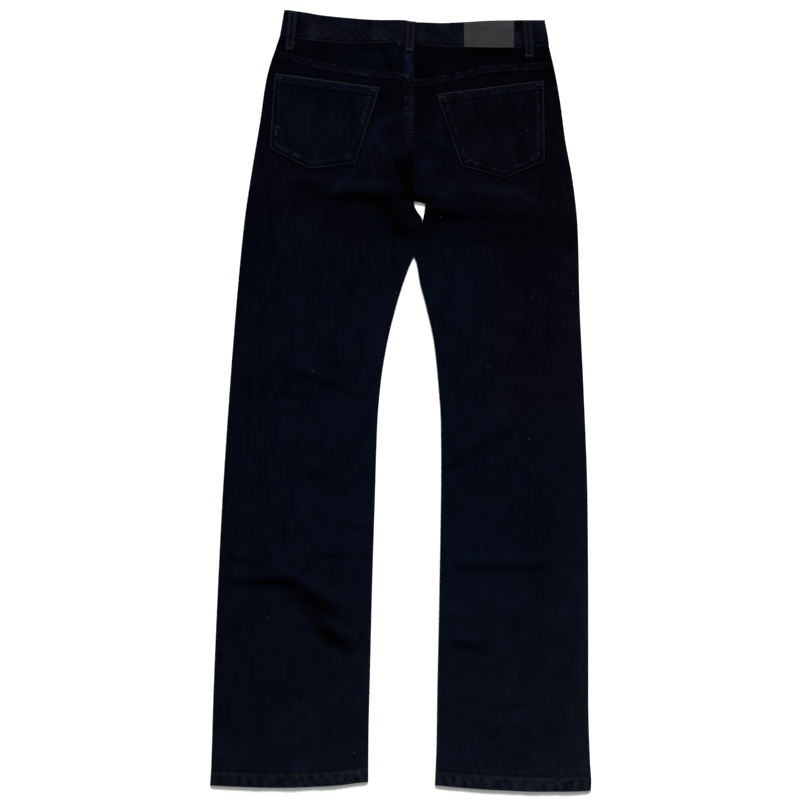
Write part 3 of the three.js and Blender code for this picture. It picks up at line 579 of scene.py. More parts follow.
def seam_form(side, x, y):
    """What the sewing does to the cloth of a back: its rise and its tone, with painted light and shade
    along the seams.
    """
    below_yoke, above_hem, _, from_in = seam_gaps(side, x, y)
    on_yoke, on_centre, on_hem = layers(side, x, y)
    hem_wave = puckers(x, above_hem, 14, 0.35, 13) + 0.6 * ripple(x, y / 2, 11, 15)
    hem_wave = hem_wave * hump((above_hem - 10) / 17)
    inseam_wave = puckers(y, from_in, 14, 0.2, 14) * apart(y) * hump((from_in - 9) / 9)
    tone = 1 + 0.42 * hem_wave + 0.26 * on_hem + 0.35 * hump((above_hem - 17.2) / 3)
    # The felled seams are drawn lighter; on the centre seam this is painted light, only where it lies in
    # the light.
    tone = tone + 0.85 * on_yoke + 0.8 * on_centre * open_fell(y)
    # Dark lines just past the raised hem and yoke fell: painted shade beside their edges.
    tone = tone - 0.4 * line(above_hem, HEM_DEPTH + 2, 1.6) + 0.12 * inseam_wave
    tone = tone - 0.45 * line(below_yoke, FELL_WIDTH + 1, 1.1)
    return sewn_rise(side, x, y) + 0.3 * hem_wave + 0.06 * inseam_wave, tone


def broad_tone(side, x, y):
    """How light the denim is, over broad stretches, with painted light along the legs' inner edges and the
    right leg's outer edge.
    """
    from_out, from_in = edge_gaps(side, x, y)
    tone = base_tone(y) * (1 + 0.05 * ripple(x, y, 110, 21) + 0.03 * ripple(x, y / 4, 22, 22))
    legs = apart(y, LEGS_APART)
    if side == "right":
        # Lighter down the leg, and painted light along the inner edge.
        tone = tone + 0.12 * ease((-100 - y) / 200) + legs * 0.12 * fade(from_in, 8)
        # Painted light along the outer edge.
        outside = 0.16 * ease((250 - y) / 300) + 0.26 * ease((-190 - y) / 70)
        tone = tone + outside * fade(from_out, 16)
    else:
        # A darker band at the outer side, and painted light along the inner edge.
        tone = tone * (1 - 0.12 * legs * ease((-140 - x) / 70)) + legs * 0.3 * fade(from_in, 11)
    return tone


def back_tone(side, x, y):
    """How light a back is, with its painted light and shade, with a painted shadow round its pocket, and
    darker towards the waist on the right.
    """
    outside = -np.minimum.reduce(edge_distances(side, x, y))
    # Painted shadow on the cloth just outside the pocket's edges.
    tone = broad_tone(side, x, y) * (1 - 0.8 * (outside < 12) * fade(outside, 2.2))
    if side == "right":
        tone = tone * (1 - 0.22 * ease((y - 400) / 60))
    # The table's painted light and shade.
    return np.maximum(0.05, tone * (1 + all_rise(PAINTED_LIGHT_AND_SHADE, side, x, y)))


def wear(side, x, y):
    """How far the colour is rubbed to grey: towards the hems, and on the outer side of the right leg."""
    low = 0.3 * ease((-180 - y) / 260) + 0.4 * ease((HEM_LEVEL + 34 - y) / 12)
    edge = 0.5 * fade(edge_gaps(side, x, y)[0], 30) * (side == "right")
    return np.clip(low + edge, 0, 1)


def warmth(side, x, y):
    """How far the cloth leans from blue to violet: at the seat, hips, left side and hems, and in the
    painted shade, and back to blue under the painted highlights.
    """
    seat = 0.6 * ease((y - 180) / 90 + 0.25 * ripple(x, y, 90, 24))
    seat = np.maximum(seat, 0.35 * fade(edge_gaps(side, x, y)[0], 30) * (side == "left"))
    hips = 0.75 * ease((x - 60) / 110) * ease((y + 140) / 200) * (side == "right")
    ends = 0.5 * ease((HEM_LEVEL + 40 - y) / 30)
    # The painted light and shade: violet where it darkens, blue where it lightens.
    light = all_rise(PAINTED_LIGHT_AND_SHADE, side, x, y)
    lean = np.maximum.reduce([seat + 0.4 * hips, hips, ends, -light])
    return np.clip(lean - np.maximum(light, 0), 0, 1)


# Grids of points

def steps(*stretches):
    """Values from one end to the other of each stretch of from, to and step, and the last end."""
    values = []
    for start, end, step in stretches:
        count = max(1, round(abs(end - start) / step))
        values += [lerp(start, end, i / count) for i in range(count)]
    return np.array(values + [stretches[-1][1]])


def columns(middle, zone=0):
    """A panel's columns from its outer to its inner edge: the kind of each, and its angle, share or inset.

    Kind 0 lies on the bend of the outer edge, 1 between the edges, 2 an inset in from the inner edge,
    and 3 on the bend of the inner edge.
    """
    shares = np.linspace(0, 1, middle + 1)[1:]
    insets = steps((zone, BACK_TURN, 1))[1:-1] if zone else np.array([])
    if not zone:
        shares = shares[:-1]
    kind = [0] * len(QUARTER) + [1] * len(shares) + [2] * len(insets) + [3] * len(QUARTER)
    return np.array(kind), np.concatenate([QUARTER, shares, insets, QUARTER[::-1]])


def place(kind, value, out, inn, bend_out, bend_in, zone):
    """X of each column and how far it is turned: 1 at the seam line and 0 on the flat.

    A bend is its radius, the cloth's thickness inside it, and its share.
    """
    way = np.sign(inn - out)

    def on_bend(start, inward, bend):
        radius, thick, share = bend
        reach = thick + (radius - thick) * (1 - np.cos(value))
        return start + inward * reach, share * (1 - np.sin(value))

    out_x, out_turned = on_bend(out, way, bend_out)
    in_x, in_turned = on_bend(inn, -way, bend_in)
    share_x = lerp(out + way * bend_out[0], inn - way * (zone or bend_in[0]), value)
    x = np.select([kind == 0, kind == 1, kind == 2], [out_x, share_x, inn - way * value], in_x)
    return x, np.select([kind == 0, kind == 3], [out_turned, in_turned], 0)


def settle(level, place_at, row_y):
    """Finds X and Y together, where a row's Y depends on X and a column's X on Y."""
    y = level + 0 * place_at(level)[0]
    for _ in range(6):
        y = row_y(place_at(y)[0])
    x, turned = place_at(y)
    return x, y, turned


def bent_rows(level, seam, seam_level):
    """Rows that follow the seam above them and the hem below them, near their ends."""
    near_seam = 1 - np.clip((seam_level - 24 - level) / ROWS_STRAIGHTEN, 0, 1)
    near_hem = 1 - np.clip((level - HEM_LEVEL - 30) / ROWS_STRAIGHTEN, 0, 1)
    return lambda x: level + (seam(x) - seam_level) * near_seam + (hem_edge(x) - HEM_LEVEL) * near_hem


def both_ways(shares):
    """Positions on both sides of a middle at 0."""
    return np.array([-share for share in reversed(shares)] + [0, *shares])[None, :]


# Meshes

def shell_faces(rows, cols):
    """Quads of the closed wall between two equal grids of points."""
    face, lining = np.arange(2 * rows * cols).reshape(2, rows, cols)

    def quads(a, b, c, d):
        return np.stack([a, b, c, d], axis=-1).reshape(-1, 4)

    return np.concatenate([
        quads(face[:-1, :-1], face[1:, :-1], face[1:, 1:], face[:-1, 1:]),
        quads(lining[:-1, :-1], lining[:-1, 1:], lining[1:, 1:], lining[1:, :-1]),
        quads(face[:-1, 0], lining[:-1, 0], lining[1:, 0], face[1:, 0]),
        quads(face[:-1, -1], face[1:, -1], lining[1:, -1], lining[:-1, -1]),
        quads(face[0, :-1], face[0, 1:], lining[0, 1:], lining[0, :-1]),
        quads(face[-1, :-1], lining[-1, :-1], lining[-1, 1:], face[-1, 1:]),
    ])


def add_object(name, data):
    added = bpy.data.objects.new(name, data)
    bpy.context.collection.objects.link(added)
    return added


def make_piece(name, points, faces, material, slot, **shades):
    """A smooth piece that rides on the part's only body. Points are in millimetres."""
    mesh = bpy.data.meshes.new(name)
    mesh.from_pydata((points * MM).tolist(), [], faces.tolist())
    mesh.materials.append(material)
    mesh.shade_smooth()
    for key, values in shades.items():
        mesh.attributes.new(key, "FLOAT", "POINT").data.foreach_set("value", values.astype(np.float32))
    piece = add_object(name, mesh)
    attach(piece, "root")
    return piece


def make_shell(name, node, face, lining, tone, material, slot, **shades):
    """A thin closed shell of cloth in place of a node. Face and lining are grids of points.

    Shades are what the denim reads: tone, warm (to violet), worn (to grey), pucker and along.
    """
    rows, cols, _ = face.shape
    points = np.concatenate([face.reshape(-1, 3), lining.reshape(-1, 3)])
    faces = shell_faces(rows, cols)
    a, b, c, d = (points[faces[:, k]] for k in range(4))
    volume = np.sum(a * (np.cross(b, c) + np.cross(c, d)))
    if volume < 0:
        faces = faces[:, ::-1]
    tones = np.concatenate([np.ravel(tone + 0 * face[..., 0]), np.full(rows * cols, 0.9)])
    shades = {"warm": 0.5, "worn": 0.1, "pucker": 0, "along": 0} | shades
    shades = {key: np.tile(np.ravel(part + 0 * face[..., 0]), 2) for key, part in shades.items()}
    piece = make_piece(name, points, faces, material, slot, tone=tones, **shades)
    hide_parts(node)
    return piece


def grid3(x, y, z):
    return np.stack(np.broadcast_arrays(x, y, z), axis=-1).astype(float)


def stitches(name, runs, material, slot, pitch=5.2, filled=0.66, radius=0.42, up=1):
    """Threads along runs of points, a short bowed capsule for each stitch, joined into one piece."""
    shares = np.array([0, 0.22, 0.5, 0.78, 1])
    swell = np.array([0.4, 0.9, 1, 0.9, 0.4])
    rise = np.array([-0.7, 0.2, 0.45, 0.2, -0.7])
    sides = 6
    around = np.arange(sides) * math.tau / sides
    bodies = []
    for run in runs:
        run = np.asarray(run, float)
        along = np.concatenate([[0], np.cumsum(np.linalg.norm(np.diff(run, axis=0), axis=1))])
        count = int((along[-1] - pitch * filled) / pitch) + 1
        at = (np.arange(count) * pitch)[:, None] + shares * pitch * filled
        centre = np.stack([np.interp(at, along, run[:, k]) for k in range(3)], axis=-1)
        ahead = unit(centre[:, -1] - centre[:, 0])
        across = unit(np.cross(ahead, [0, 0, up]))
        above = np.cross(across, ahead)
        ring = np.cos(around)[:, None] * across[:, None, None]
        ring = ring + np.sin(around)[:, None] * above[:, None, None]
        middle = centre + radius * rise[:, None] * above[:, None]
        bodies.append(middle[:, :, None] + radius * swell[:, None, None] * ring)
    points = np.concatenate(bodies)
    index = np.arange(len(shares) * sides).reshape(len(shares), sides)
    following = np.roll(index, -1, axis=1)
    walls = np.stack([index[:-1], following[:-1], following[1:], index[1:]], axis=-1).reshape(-1, 4)
    caps = [end[half] for end in (index[0][::-1], index[-1]) for half in ([0, 1, 2, 3], [3, 4, 5, 0])]
    body = np.concatenate([walls, np.array(caps)])
    faces = (body + index.size * np.arange(len(points))[:, None, None]).reshape(-1, 4)
    if up > 0:
        faces = faces[:, ::-1]
    return make_piece(name, points.reshape(-1, 3), faces, material, slot)


# Materials

class Nodes:
    """Builds one material's nodes."""

    def __init__(self, name):
        self.material = bpy.data.materials.new(name)
        self.material.use_nodes = True
        self.tree = self.material.node_tree
        self.shader = self.tree.nodes["Principled BSDF"]
        self.place = self.add("ShaderNodeTexCoord", "Object")

    def fill(self, node, inputs):
        """Links each input to what another node gives, or sets it to a value."""
        for key, value in inputs.items():
            target = node.inputs[key]
            if isinstance(value, bpy.types.NodeSocket):
                self.tree.links.new(value, target)
            else:
                target.default_value = (*value, 1) if target.type == "RGBA" else value

    def add(self, kind, output, inputs=None, **settings):
        """Adds a node and gives one of its outputs."""
        node = self.tree.nodes.new(kind)
        for key, value in settings.items():
            setattr(node, key, value)
        self.fill(node, inputs or {})
        return node.outputs[output]

    def scaled(self, scale, turn=0.0):
        """The piece's own place, with one scale or a scale each along X, Y and Z."""
        scale = scale if isinstance(scale, tuple) else (scale, scale, scale)
        inputs = {"Vector": self.place, "Scale": scale, "Rotation": (0, 0, turn)}
        return self.add("ShaderNodeMapping", "Vector", inputs)

    def noise(self, scale, detail, roughness=0.5):
        """Noise with its scale in waves to the metre."""
        inputs = {"Vector": self.scaled(scale), "Scale": 1, "Detail": detail, "Roughness": roughness}
        return self.add("ShaderNodeTexNoise", "Fac", inputs)

    def waves(self, pitch, turn, distortion):
        """Straight ridges, pitch millimetres apart."""
        inputs = {"Vector": self.scaled(1, turn), "Scale": math.tau / 20 / (pitch * MM)}
        inputs |= {"Distortion": distortion, "Detail Scale": 2}
        return self.add("ShaderNodeTexWave", "Fac", inputs)

    def span(self, value, low, high):
        """A value from 0 to 1 spread from low to high."""
        inputs = {"Value": value, "To Min": low, "To Max": high}
        return self.add("ShaderNodeMapRange", "Result", inputs)

    def sum(self, a, b, operation="ADD"):
        return self.add("ShaderNodeMath", "Value", {0: a, 1: b}, operation=operation)

    def times(self, a, b):
        return self.sum(a, b, "MULTIPLY")

    def mix(self, share, first, second):
        inputs = {"Factor": share, "A": first, "B": second}
        return self.add("ShaderNodeMix", "Result", inputs, data_type="RGBA")

    def flecks(self, spacing, radius, share):
        """1 on small round flecks, in a share of cells of this spacing, and 0 elsewhere."""
        inputs = {"Vector": self.place, "Scale": 1 / (spacing * MM)}
        distance = self.add("ShaderNodeTexVoronoi", "Distance", inputs, voronoi_dimensions="2D")
        near = self.sum(distance, radius / spacing, "LESS_THAN")
        draw = self.add("ShaderNodeSeparateColor", "Red", {"Color": distance.node.outputs["Color"]})
        return self.times(near, self.sum(draw, 1 - share, "GREATER_THAN"))

    def scale_colour(self, colour, factor):
        inputs = {0: colour, "Scale": factor}
        return self.add("ShaderNodeVectorMath", "Vector", inputs, operation="SCALE")

    def bump(self, height, distance, strength, below=None):
        inputs = {"Height": height, "Strength": strength, "Distance": distance * MM}
        if below:
            inputs["Normal"] = below
        return self.add("ShaderNodeBump", "Normal", inputs)

    def attribute(self, name):
        return self.add("ShaderNodeAttribute", "Fac", attribute_name=name)

    def finish(self, colour, roughness, normal, **fixed):
        fixed = {key.replace("_", " "): value for key, value in fixed.items()}
        self.fill(self.shader, {"Base Color": colour, "Roughness": roughness, "Normal": normal} | fixed)
        return self.material


def denim_material(name, blue, violet, grey):
    """Dark twill: fine diagonal ribs, streaks along the warp, worn tones, the painted light and shade that
    the tone and the puckers carry, and a few flecks of lint.
    """
    nodes = Nodes(name)
    twill = nodes.waves(0.9, math.radians(28), 1.5)
    streaks = nodes.noise((900, 26, 300), 3)
    mottle = nodes.noise((60, 45, 60), 4, 0.6)
    fuzz = nodes.noise(1300, 2, 0.7)
    blend = nodes.sum(nodes.times(streaks, 0.32), nodes.times(fuzz, 0.3))
    blend = nodes.sum(blend, nodes.times(mottle, 0.38))
    # The tone that each piece carries, with its painted light and shade.
    tone = nodes.times(nodes.attribute("tone"), nodes.span(blend, -0.5, 2.5))
    tone = nodes.times(tone, nodes.span(twill, 0.88, 1.12))
    # Fine puckers along the seams: a bump, and painted light and shade on their sides in broken lumps.
    wander = nodes.span(nodes.noise(45, 2), -6, 6)
    pucker_relief_and_shade = nodes.sum(nodes.sum(nodes.times(nodes.attribute("along"), math.tau), wander), 0, "SINE")
    lumps = nodes.span(nodes.noise(125, 2, 0.6), -4.6, 5)
    pucker_relief_and_shade = nodes.sum(nodes.times(pucker_relief_and_shade, 0.45), lumps)
    patchy = nodes.sum(nodes.span(nodes.noise(38, 2), -1.7, 3.7), 0.1, "MAXIMUM")
    pucker_relief_and_shade = nodes.times(nodes.times(pucker_relief_and_shade, nodes.attribute("pucker")), patchy)
    # The puckers' painted light and shade darken and lighten the tone.
    tone = nodes.times(tone, nodes.sum(nodes.sum(nodes.times(pucker_relief_and_shade, 0.8), 1), 0.35, "MAXIMUM"))
    hue = nodes.mix(nodes.attribute("warm"), blue, violet)
    colour = nodes.scale_colour(nodes.mix(nodes.attribute("worn"), hue, grey), tone)
    colour = nodes.mix(nodes.flecks(62, 0.65, 0.1), colour, (0.05, 0.055, 0.06))
    fine = nodes.bump(nodes.sum(nodes.times(twill, 0.6), fuzz), 0.22, 0.6)
    fine = nodes.bump(pucker_relief_and_shade, 0.3, 0.8, fine)
    normal = nodes.bump(mottle, 0.8, 0.35, fine)
    return nodes.finish(
        colour, nodes.span(fuzz, 0.85, 1), normal,
        Specular_IOR_Level=0.008, Sheen_Weight=0.002, Sheen_Roughness=0.5,
    )


def thread_material(name, dark, light):
    nodes = Nodes(name)
    strands = nodes.waves(0.45, math.radians(40), 1)
    patchy = nodes.noise(70, 3)
    colour = nodes.mix(nodes.span(patchy, -1, 2), dark, light)
    colour = nodes.scale_colour(colour, nodes.span(strands, 0.8, 1.2))
    normal = nodes.bump(strands, 0.12, 0.6)
    return nodes.finish(
        colour, nodes.span(patchy, 0.6, 0.85), normal,
        Specular_IOR_Level=0.05, Sheen_Weight=0.01, Sheen_Roughness=0.4,
    )


def leather_material(name, dark, light):
    nodes = Nodes(name)
    inputs = {"Vector": nodes.scaled(900), "Scale": 1}
    grain = nodes.add("ShaderNodeTexVoronoi", "Distance", inputs, feature="DISTANCE_TO_EDGE")
    cloud = nodes.noise(90, 4, 0.6)
    colour = nodes.mix(nodes.span(cloud, -0.2, 1.2), dark, light)
    colour = nodes.scale_colour(colour, nodes.span(grain, 0.9, 1.15))
    normal = nodes.bump(grain, 0.25, 0.5)
    return nodes.finish(
        colour, nodes.span(cloud, 0.5, 0.68), normal, Specular_IOR_Level=0.21,
    )


def tape_material(name, dark, light):
    nodes = Nodes(name)
    ribs = nodes.waves(0.7, 0, 0.3)
    cloud = nodes.noise((200, 60, 200), 3)
    colour = nodes.mix(nodes.span(cloud, 0, 1), dark, light)
    normal = nodes.bump(ribs, 0.2, 0.7)
    return nodes.finish(colour, nodes.span(ribs, 0.8, 0.95), normal, Specular_IOR_Level=0.1)


def metal_material(name, dark, light):
    nodes = Nodes(name)
    brushed = nodes.noise((1500, 120, 1500), 4, 0.6)
    cloud = nodes.noise(150, 3)
    colour = nodes.mix(nodes.span(cloud, 0, 1), dark, light)
    normal = nodes.bump(brushed, 0.05, 0.5)
    return nodes.finish(colour, nodes.span(brushed, 0.28, 0.5), normal, Metallic=1.0)


WORN = (0.0024, 0.0030, 0.0048)
denim = denim_material("denim_dark", (0.0012, 0.0022, 0.0060), (0.0021, 0.0019, 0.0046), WORN)
denim_band = denim_material("denim_band", (0.0020, 0.0027, 0.0060), (0.0030, 0.0032, 0.0062), WORN)
thread = thread_material("thread_navy", (0.0014, 0.0018, 0.0034), (0.0062, 0.0070, 0.0108))
pale_thread = thread_material("thread_grey", (0.0085, 0.009, 0.0115), (0.0175, 0.018, 0.0225))
# The navy thread drawn near black, as painted shade, for the centre seam where it lies in the crotch's
# shadow.
shaded_thread = thread_material("thread_navy_in_painted_shade", (0.0006, 0.0007, 0.0012), (0.0012, 0.0013, 0.002))
leather = leather_material("leather_charcoal", (0.0087, 0.0091, 0.0106), (0.0135, 0.0141, 0.0163))
tape = tape_material("zip_tape", (0.004, 0.0045, 0.006), (0.008, 0.009, 0.011))
metal = metal_material("button_gunmetal", (0.09, 0.09, 0.1), (0.16, 0.16, 0.17))


# The two sides: back, yoke, front, pocket facing, pocket

BACK_ZONE = 18 # along the inner edge the columns keep their distance from it
BACK_KIND, BACK_VALUE = columns(72, BACK_ZONE)


def back_place(side, y, lining):
    thick = CLOTH if lining else 0
    share = apart(y)
    bend_out = (BACK_TURN, thick, 1)
    bend_in = (BACK_TURN, thick * share, share)
    return place(BACK_KIND, BACK_VALUE, outer[side](y), inner[side](y), bend_out, bend_in, BACK_ZONE)


def back_points(side, level, row_y, lining):
    x, y, turned = settle(level, lambda at: back_place(side, at, lining), row_y)
    top = draped(side, x, y)
    rise, tone = seam_form(side, x, y)
    height = top - CLOTH if lining else top + rise * (1 - turned)
    spots = grid3(x, y, lerp(height, SEAM_HEIGHT + GAP / 2, turned))
    shades = fine_puckers(side, x, y) | {"warm": warmth(side, x, y), "worn": wear(side, x, y)}
    return spots, tone * back_tone(side, x, y), shades


def back_shell(kind, side, level, row_y):
    """A back or a yoke: both are cut from the same draped form."""
    face, tone, shades = back_points(side, level, row_y, False)
    lining, _, _ = back_points(side, level, row_y, True)
    node = f"{kind}_{side}"
    return make_shell("cloth_" + node, node, face, lining, tone, denim, "denim", **shades)


def build_back(side):
    level = steps(
        (YOKE_LEVEL, YOKE_LEVEL - 14, 0.8),
        (YOKE_LEVEL - 14, HEM_FINE, 3),
        (HEM_FINE, HEM_LEVEL, 0.9),
    )[:, None]
    row_y = bent_rows(level, yoke_seam, YOKE_LEVEL)
    piece = back_shell("back", side, level, row_y)


def build_yoke(side):
    share = steps((0, 0.06, 0.02), (0.06, 0.9, 0.04), (0.9, 1, 0.02))[:, None]

    def row_y(x):
        return lerp(waist_seam(x) - 1.5 * GAP, yoke_seam(x) + GAP, share)

    piece = back_shell("yoke", side, YOKE_LEVEL + 0 * share, row_y)


def mouth_x(side, share):
    """X of the curved mouth of a front pocket, by the share of its height."""
    y = lerp(MOUTH_FOOT, MOUTH_TOP, share)
    return outer[side](y) + INWARD[side] * MOUTH_WIDTH * np.sqrt(1 - (1 - share) ** 2)


def mouth_y(x, share):
    return lerp(MOUTH_FOOT, front_seam(x) - GAP, share)


def front_heights(turned, flat, stitched, lining):
    height = flat if lining else stitched
    return lerp(height, SEAM_HEIGHT - GAP / 2, turned)


def build_front(side):
    kind, value = columns(36)
    share = np.array([*MOUTH_SHARES, 0.01])[:, None]
    level = steps((MOUTH_FOOT - 1, HEM_FINE, 6), (HEM_FINE, HEM_LEVEL, 2))[:, None]
    bent = bent_rows(level, lambda x: MOUTH_FOOT + 0 * x, MOUTH_FOOT)

    def points(lining):
        thick = CLOTH if lining else 0

        def rows(start, row_y, out, bend_out):
            def at(y):
                legs = apart(y)
                bend_in = (FRONT_TURN, thick * legs, legs)
                return place(kind, value, out(y), inner[side](y), bend_out, bend_in, 0)

            return settle(start, at, row_y)

        foot = MOUTH_FOOT + 0 * share
        mouth = rows(foot, lambda x: mouth_y(x, share), lambda y: mouth_x(side, share), (FRONT_TURN, 0, 0))
        leg = rows(level, bent, outer[side], (FRONT_TURN, thick, 1))
        x, y, turned = (np.concatenate(part) for part in zip(mouth, leg))
        above_hem = y - hem_edge(x)
        lift = all_rise(FRONT_CREASES, side, x, y) * ease(np.minimum(*edge_gaps(side, x, y)) / FOLD_EDGE)
        flat = CLOTH + HEM_RISE / 2 * band(above_hem, HEM_DEPTH) + lift
        sunk = lift - groove(above_hem, HEM_ROW, 0.2)
        # Painted shade along the raised creases, so that they show.
        tone = broad_tone(side, x, y) * (1 - 0.4 * lift)
        return grid3(x, y, front_heights(turned, flat, sunk, lining)), tone

    face, tone = points(False)
    lining, _ = points(True)
    piece = make_shell("cloth_front_" + side, "front_" + side, face, lining, tone, denim, "denim")


def build_facing(side):
    middle = 14
    kind = np.array([0] * len(QUARTER) + [1] * middle)
    value = np.concatenate([QUARTER, np.linspace(0, 1, middle + 1)[1:]])
    share = np.array(MOUTH_SHARES)[:, None]
    end = mouth_x(side, share) - INWARD[side] * GAP

    def points(lining):
        thick = CLOTH if lining else 0

        def at(y):
            return place(kind, value, outer[side](y), end, (FRONT_TURN, thick, 1), (0, 0, 0), 0)

        def row_y(x):
            return mouth_y(x, share) + 2 * GAP * (1 - share)

        x, y, turned = settle(MOUTH_FOOT + 0 * share, at, row_y)
        return grid3(x, y, front_heights(turned, CLOTH, 0, lining)), broad_tone(side, x, y)

    face, tone = points(False)
    lining, _ = points(True)
    node = "pocket_facing_" + side
    piece = make_shell("cloth_facing_" + side, node, face, lining, tone, denim, "denim")


def mix_points(a, b, t):
    return lerp(np.asarray(a, float), np.asarray(b, float), t[..., None])


def pocket_place(side, u, v):
    """X and Y of a point of a back pocket, u across from its left side and v down from its top."""
    top_left, top_right, low_right, point, low_left = POCKETS[side]
    left_part = mix_points(low_left, point, np.clip(u / POCKET_POINT, 0, 1))
    right_part = mix_points(point, low_right, np.clip((u - POCKET_POINT) / (1 - POCKET_POINT), 0, 1))
    low = np.where((u < POCKET_POINT)[..., None], left_part, right_part)
    high = mix_points(top_left, top_right, u)
    spot = high + (low - high) * v[..., None]
    return spot[..., 0], spot[..., 1]


def pocket_edges(side):
    """Each edge's start, its direction and the way in: top, right, lower right, lower left, left."""
    corners = np.array(POCKETS[side])
    ways = unit(np.roll(corners, -1, axis=0) - corners)
    return [(start, way, np.array([way[1], -way[0]])) for start, way in zip(corners, ways)]


def edge_distances(side, x, y):
    """How far in a point is from each edge of a pocket."""
    return [(x - at[0]) * inward[0] + (y - at[1]) * inward[1] for at, _, inward in pocket_edges(side)]


def pocket_height(side, x, y):
    """Height of a back pocket's face, its tone, and its fine puckers as for a seam."""
    top, right, low_right, low_left, left = edge_distances(side, x, y)
    lowest = np.minimum(low_right, low_left)
    upright = np.minimum(right, left)
    sewn = np.minimum(lowest, upright)
    rim = np.minimum(top, sewn)
    hem = band(top, POCKET_HEM)
    rise = CLOTH + 0.55 * hem + 0.25 * band(sewn, 9.5, 3) - 0.7 * fade(rim, 0.8)
    for row in POCKET_ROWS:
        rise = rise + groove(sewn, row, 0.3)
    for row in POCKET_HEM_ROWS:
        rise = rise + groove(top, row, 0.3)
    edge = line(np.maximum(rim, 0), 0, 1)
    beads = hump((sewn - 8.6) / 5.5) * (1 - hem)
    tone = 0.74 + 3.8 * edge + 0.25 * beads + 0.15 * hem + 0.1 * ripple(x, y / 3, 26, 33)
    # Painted shade between the sewn edges and the inner row, and a painted shadow under the top hem.
    tone = tone - 0.35 * hump((sewn - 4.6) / 2.4) * (1 - hem) - 0.45 * hump((top - 13.2) / 2.2)
    # The pocket table's painted light and shade.
    tone = tone * (1 + all_rise(POCKET_PAINTED_LIGHT_AND_SHADE, side, x, y))
    level = (top < POCKET_HEM) | (lowest < upright)
    count = np.where(level, x + 0.2 * y, y + 0.2 * x) / PUCKER
    fine = {"pucker": beads + 0.9 * hump((top - 9.6) / 3.4) + 0.8 * hump((top - 3) / 2.6)}
    fine = fine | {"along": count, "worn": 0.1 + 0.9 * edge}
    return draped(side, x, y) + POCKET_GAP + rise, tone, fine


def build_pocket(side):
    share = steps((0, 0.1, 0.006), (0.1, 0.9, 0.016), (0.9, 1, 0.006))
    u, v = np.meshgrid(share, share)
    x, y = pocket_place(side, u, v)
    height, tone, fine = pocket_height(side, x, y)
    face = grid3(x, y, height)
    lining = grid3(x, y, draped(side, x, y) + POCKET_GAP)
    name = "back_pocket_" + side
    light, warm = (1, 0.1) if side == "left" else (0.88, 0.85)
    tone = tone * light
    piece = make_shell("cloth_" + name, name, face, lining, tone, denim, "denim", warm=warm, **fine)


# The waistband and what is sewn on it

def band_form(x, share):
    """How far the waistband's face stands in or out, its tone, and how far its blue leans to violet.

    Share goes from the top of the band to its seam.
    """
    from_top = share * BAND_DEPTH
    from_seam = (1 - share) * BAND_DEPTH
    waves = puckers(x, from_seam, 12, 0.9, 41)
    lower = hump((from_seam - 4) / 24)
    rim = fade(from_top, 0.9) + fade(from_seam, 0.9)
    rise = groove(from_seam, BAND_ROW, 0.35) - 0.7 * rim
    rise = rise + 0.42 * lower * waves + 0.2 * ripple(x, from_top, 34, 42)
    blotches = 0.2 * ripple(x, from_top, 48, 43) + 0.12 * ripple(x, 2 * from_top, 15, 44)
    tone = 0.9 + 0.28 * lower * waves + 0.4 * fade(from_top, 2.5) + blotches
    # A dark line above the seam row, painted shade in its groove, and a lighter line at the lower edge.
    tone = tone - 0.5 * line(from_seam, 4, 1) + 1.2 * line(from_seam, 1.3, 0.9)
    # Painted shadows on the band beside the back belt loops.
    for _, top_x, foot_x, _, _ in BACK_LOOPS:
        beside = np.abs(x - lerp(top_x, foot_x, 0.4)) - LOOP_WIDTH / 2
        tone = tone * (1 - 0.55 * fade(beside, 2.5))
    return rise, np.maximum(0.2, tone), 0.5 + 0.3 * ripple(x, from_top, 80, 45)


def build_waistband():
    radius = BAND + BAND_AIR / 2
    step = 1.6
    turn = np.radians(np.arange(-75, 76, 15))

    def front(x, extra=0):
        low = waist_lift(x) + extra
        return [x, x, 0 * x, low, low + BAND]

    def back(x):
        return [x, x, 0 * x + 1, band_top(x), band_top(x) - BAND]

    def fold(end, way):
        angle = turn * way
        x = end - way * radius * (1 - np.cos(angle))
        lining_x = end - way * (radius - BAND_AIR / 2 * np.cos(angle))
        face, lining = radius * (1 + np.sin(angle)), radius + BAND_AIR / 2 * np.sin(angle)
        return [x, lining_x, (np.sin(angle) + 1) / 2, face, lining]

    from_lap = steps((CENTRE - LAP, band_end["right"] - radius, step))
    to_lap = steps((band_end["left"] + radius, CENTRE + LAP, step))
    over_back = steps((band_end["right"] - radius, band_end["left"] + radius, step))
    under_lap = (BAND + GAP) * (1 - ease((from_lap - CENTRE - LAP_REACH) / LAP_EASE))
    stretches = [
        front(from_lap, under_lap), fold(band_end["right"], 1), back(over_back),
        fold(band_end["left"], -1), front(to_lap),
    ]
    x, lining_x, up, face_z, lining_z = (np.concatenate(part)[:, None] for part in zip(*stretches))
    share = steps((0, 0.1, 0.02), (0.1, 0.88, 0.06), (0.88, 1, 0.015))[None, :]

    def points(at, height):
        top = lerp(front_top(at), waist_top(at), up > 0.5)
        seam = lerp(front_seam(at), waist_seam(at), up > 0.5)
        y = lerp(top, seam, share)
        return grid3(band_x(at, y, seam), y, height)

    rise, tone, warm = band_form(x, share)
    face = points(x, face_z + (2 * up - 1) * np.where(up > 0.5, rise, np.minimum(rise, 0)))
    lining = points(lining_x, lining_z)
    name = "waistband"
    piece = make_shell("cloth_" + name, name, face, lining, tone, denim_band, "denim_band", warm=warm)


def side_of(x):
    return "left" if x < CENTRE else "right"


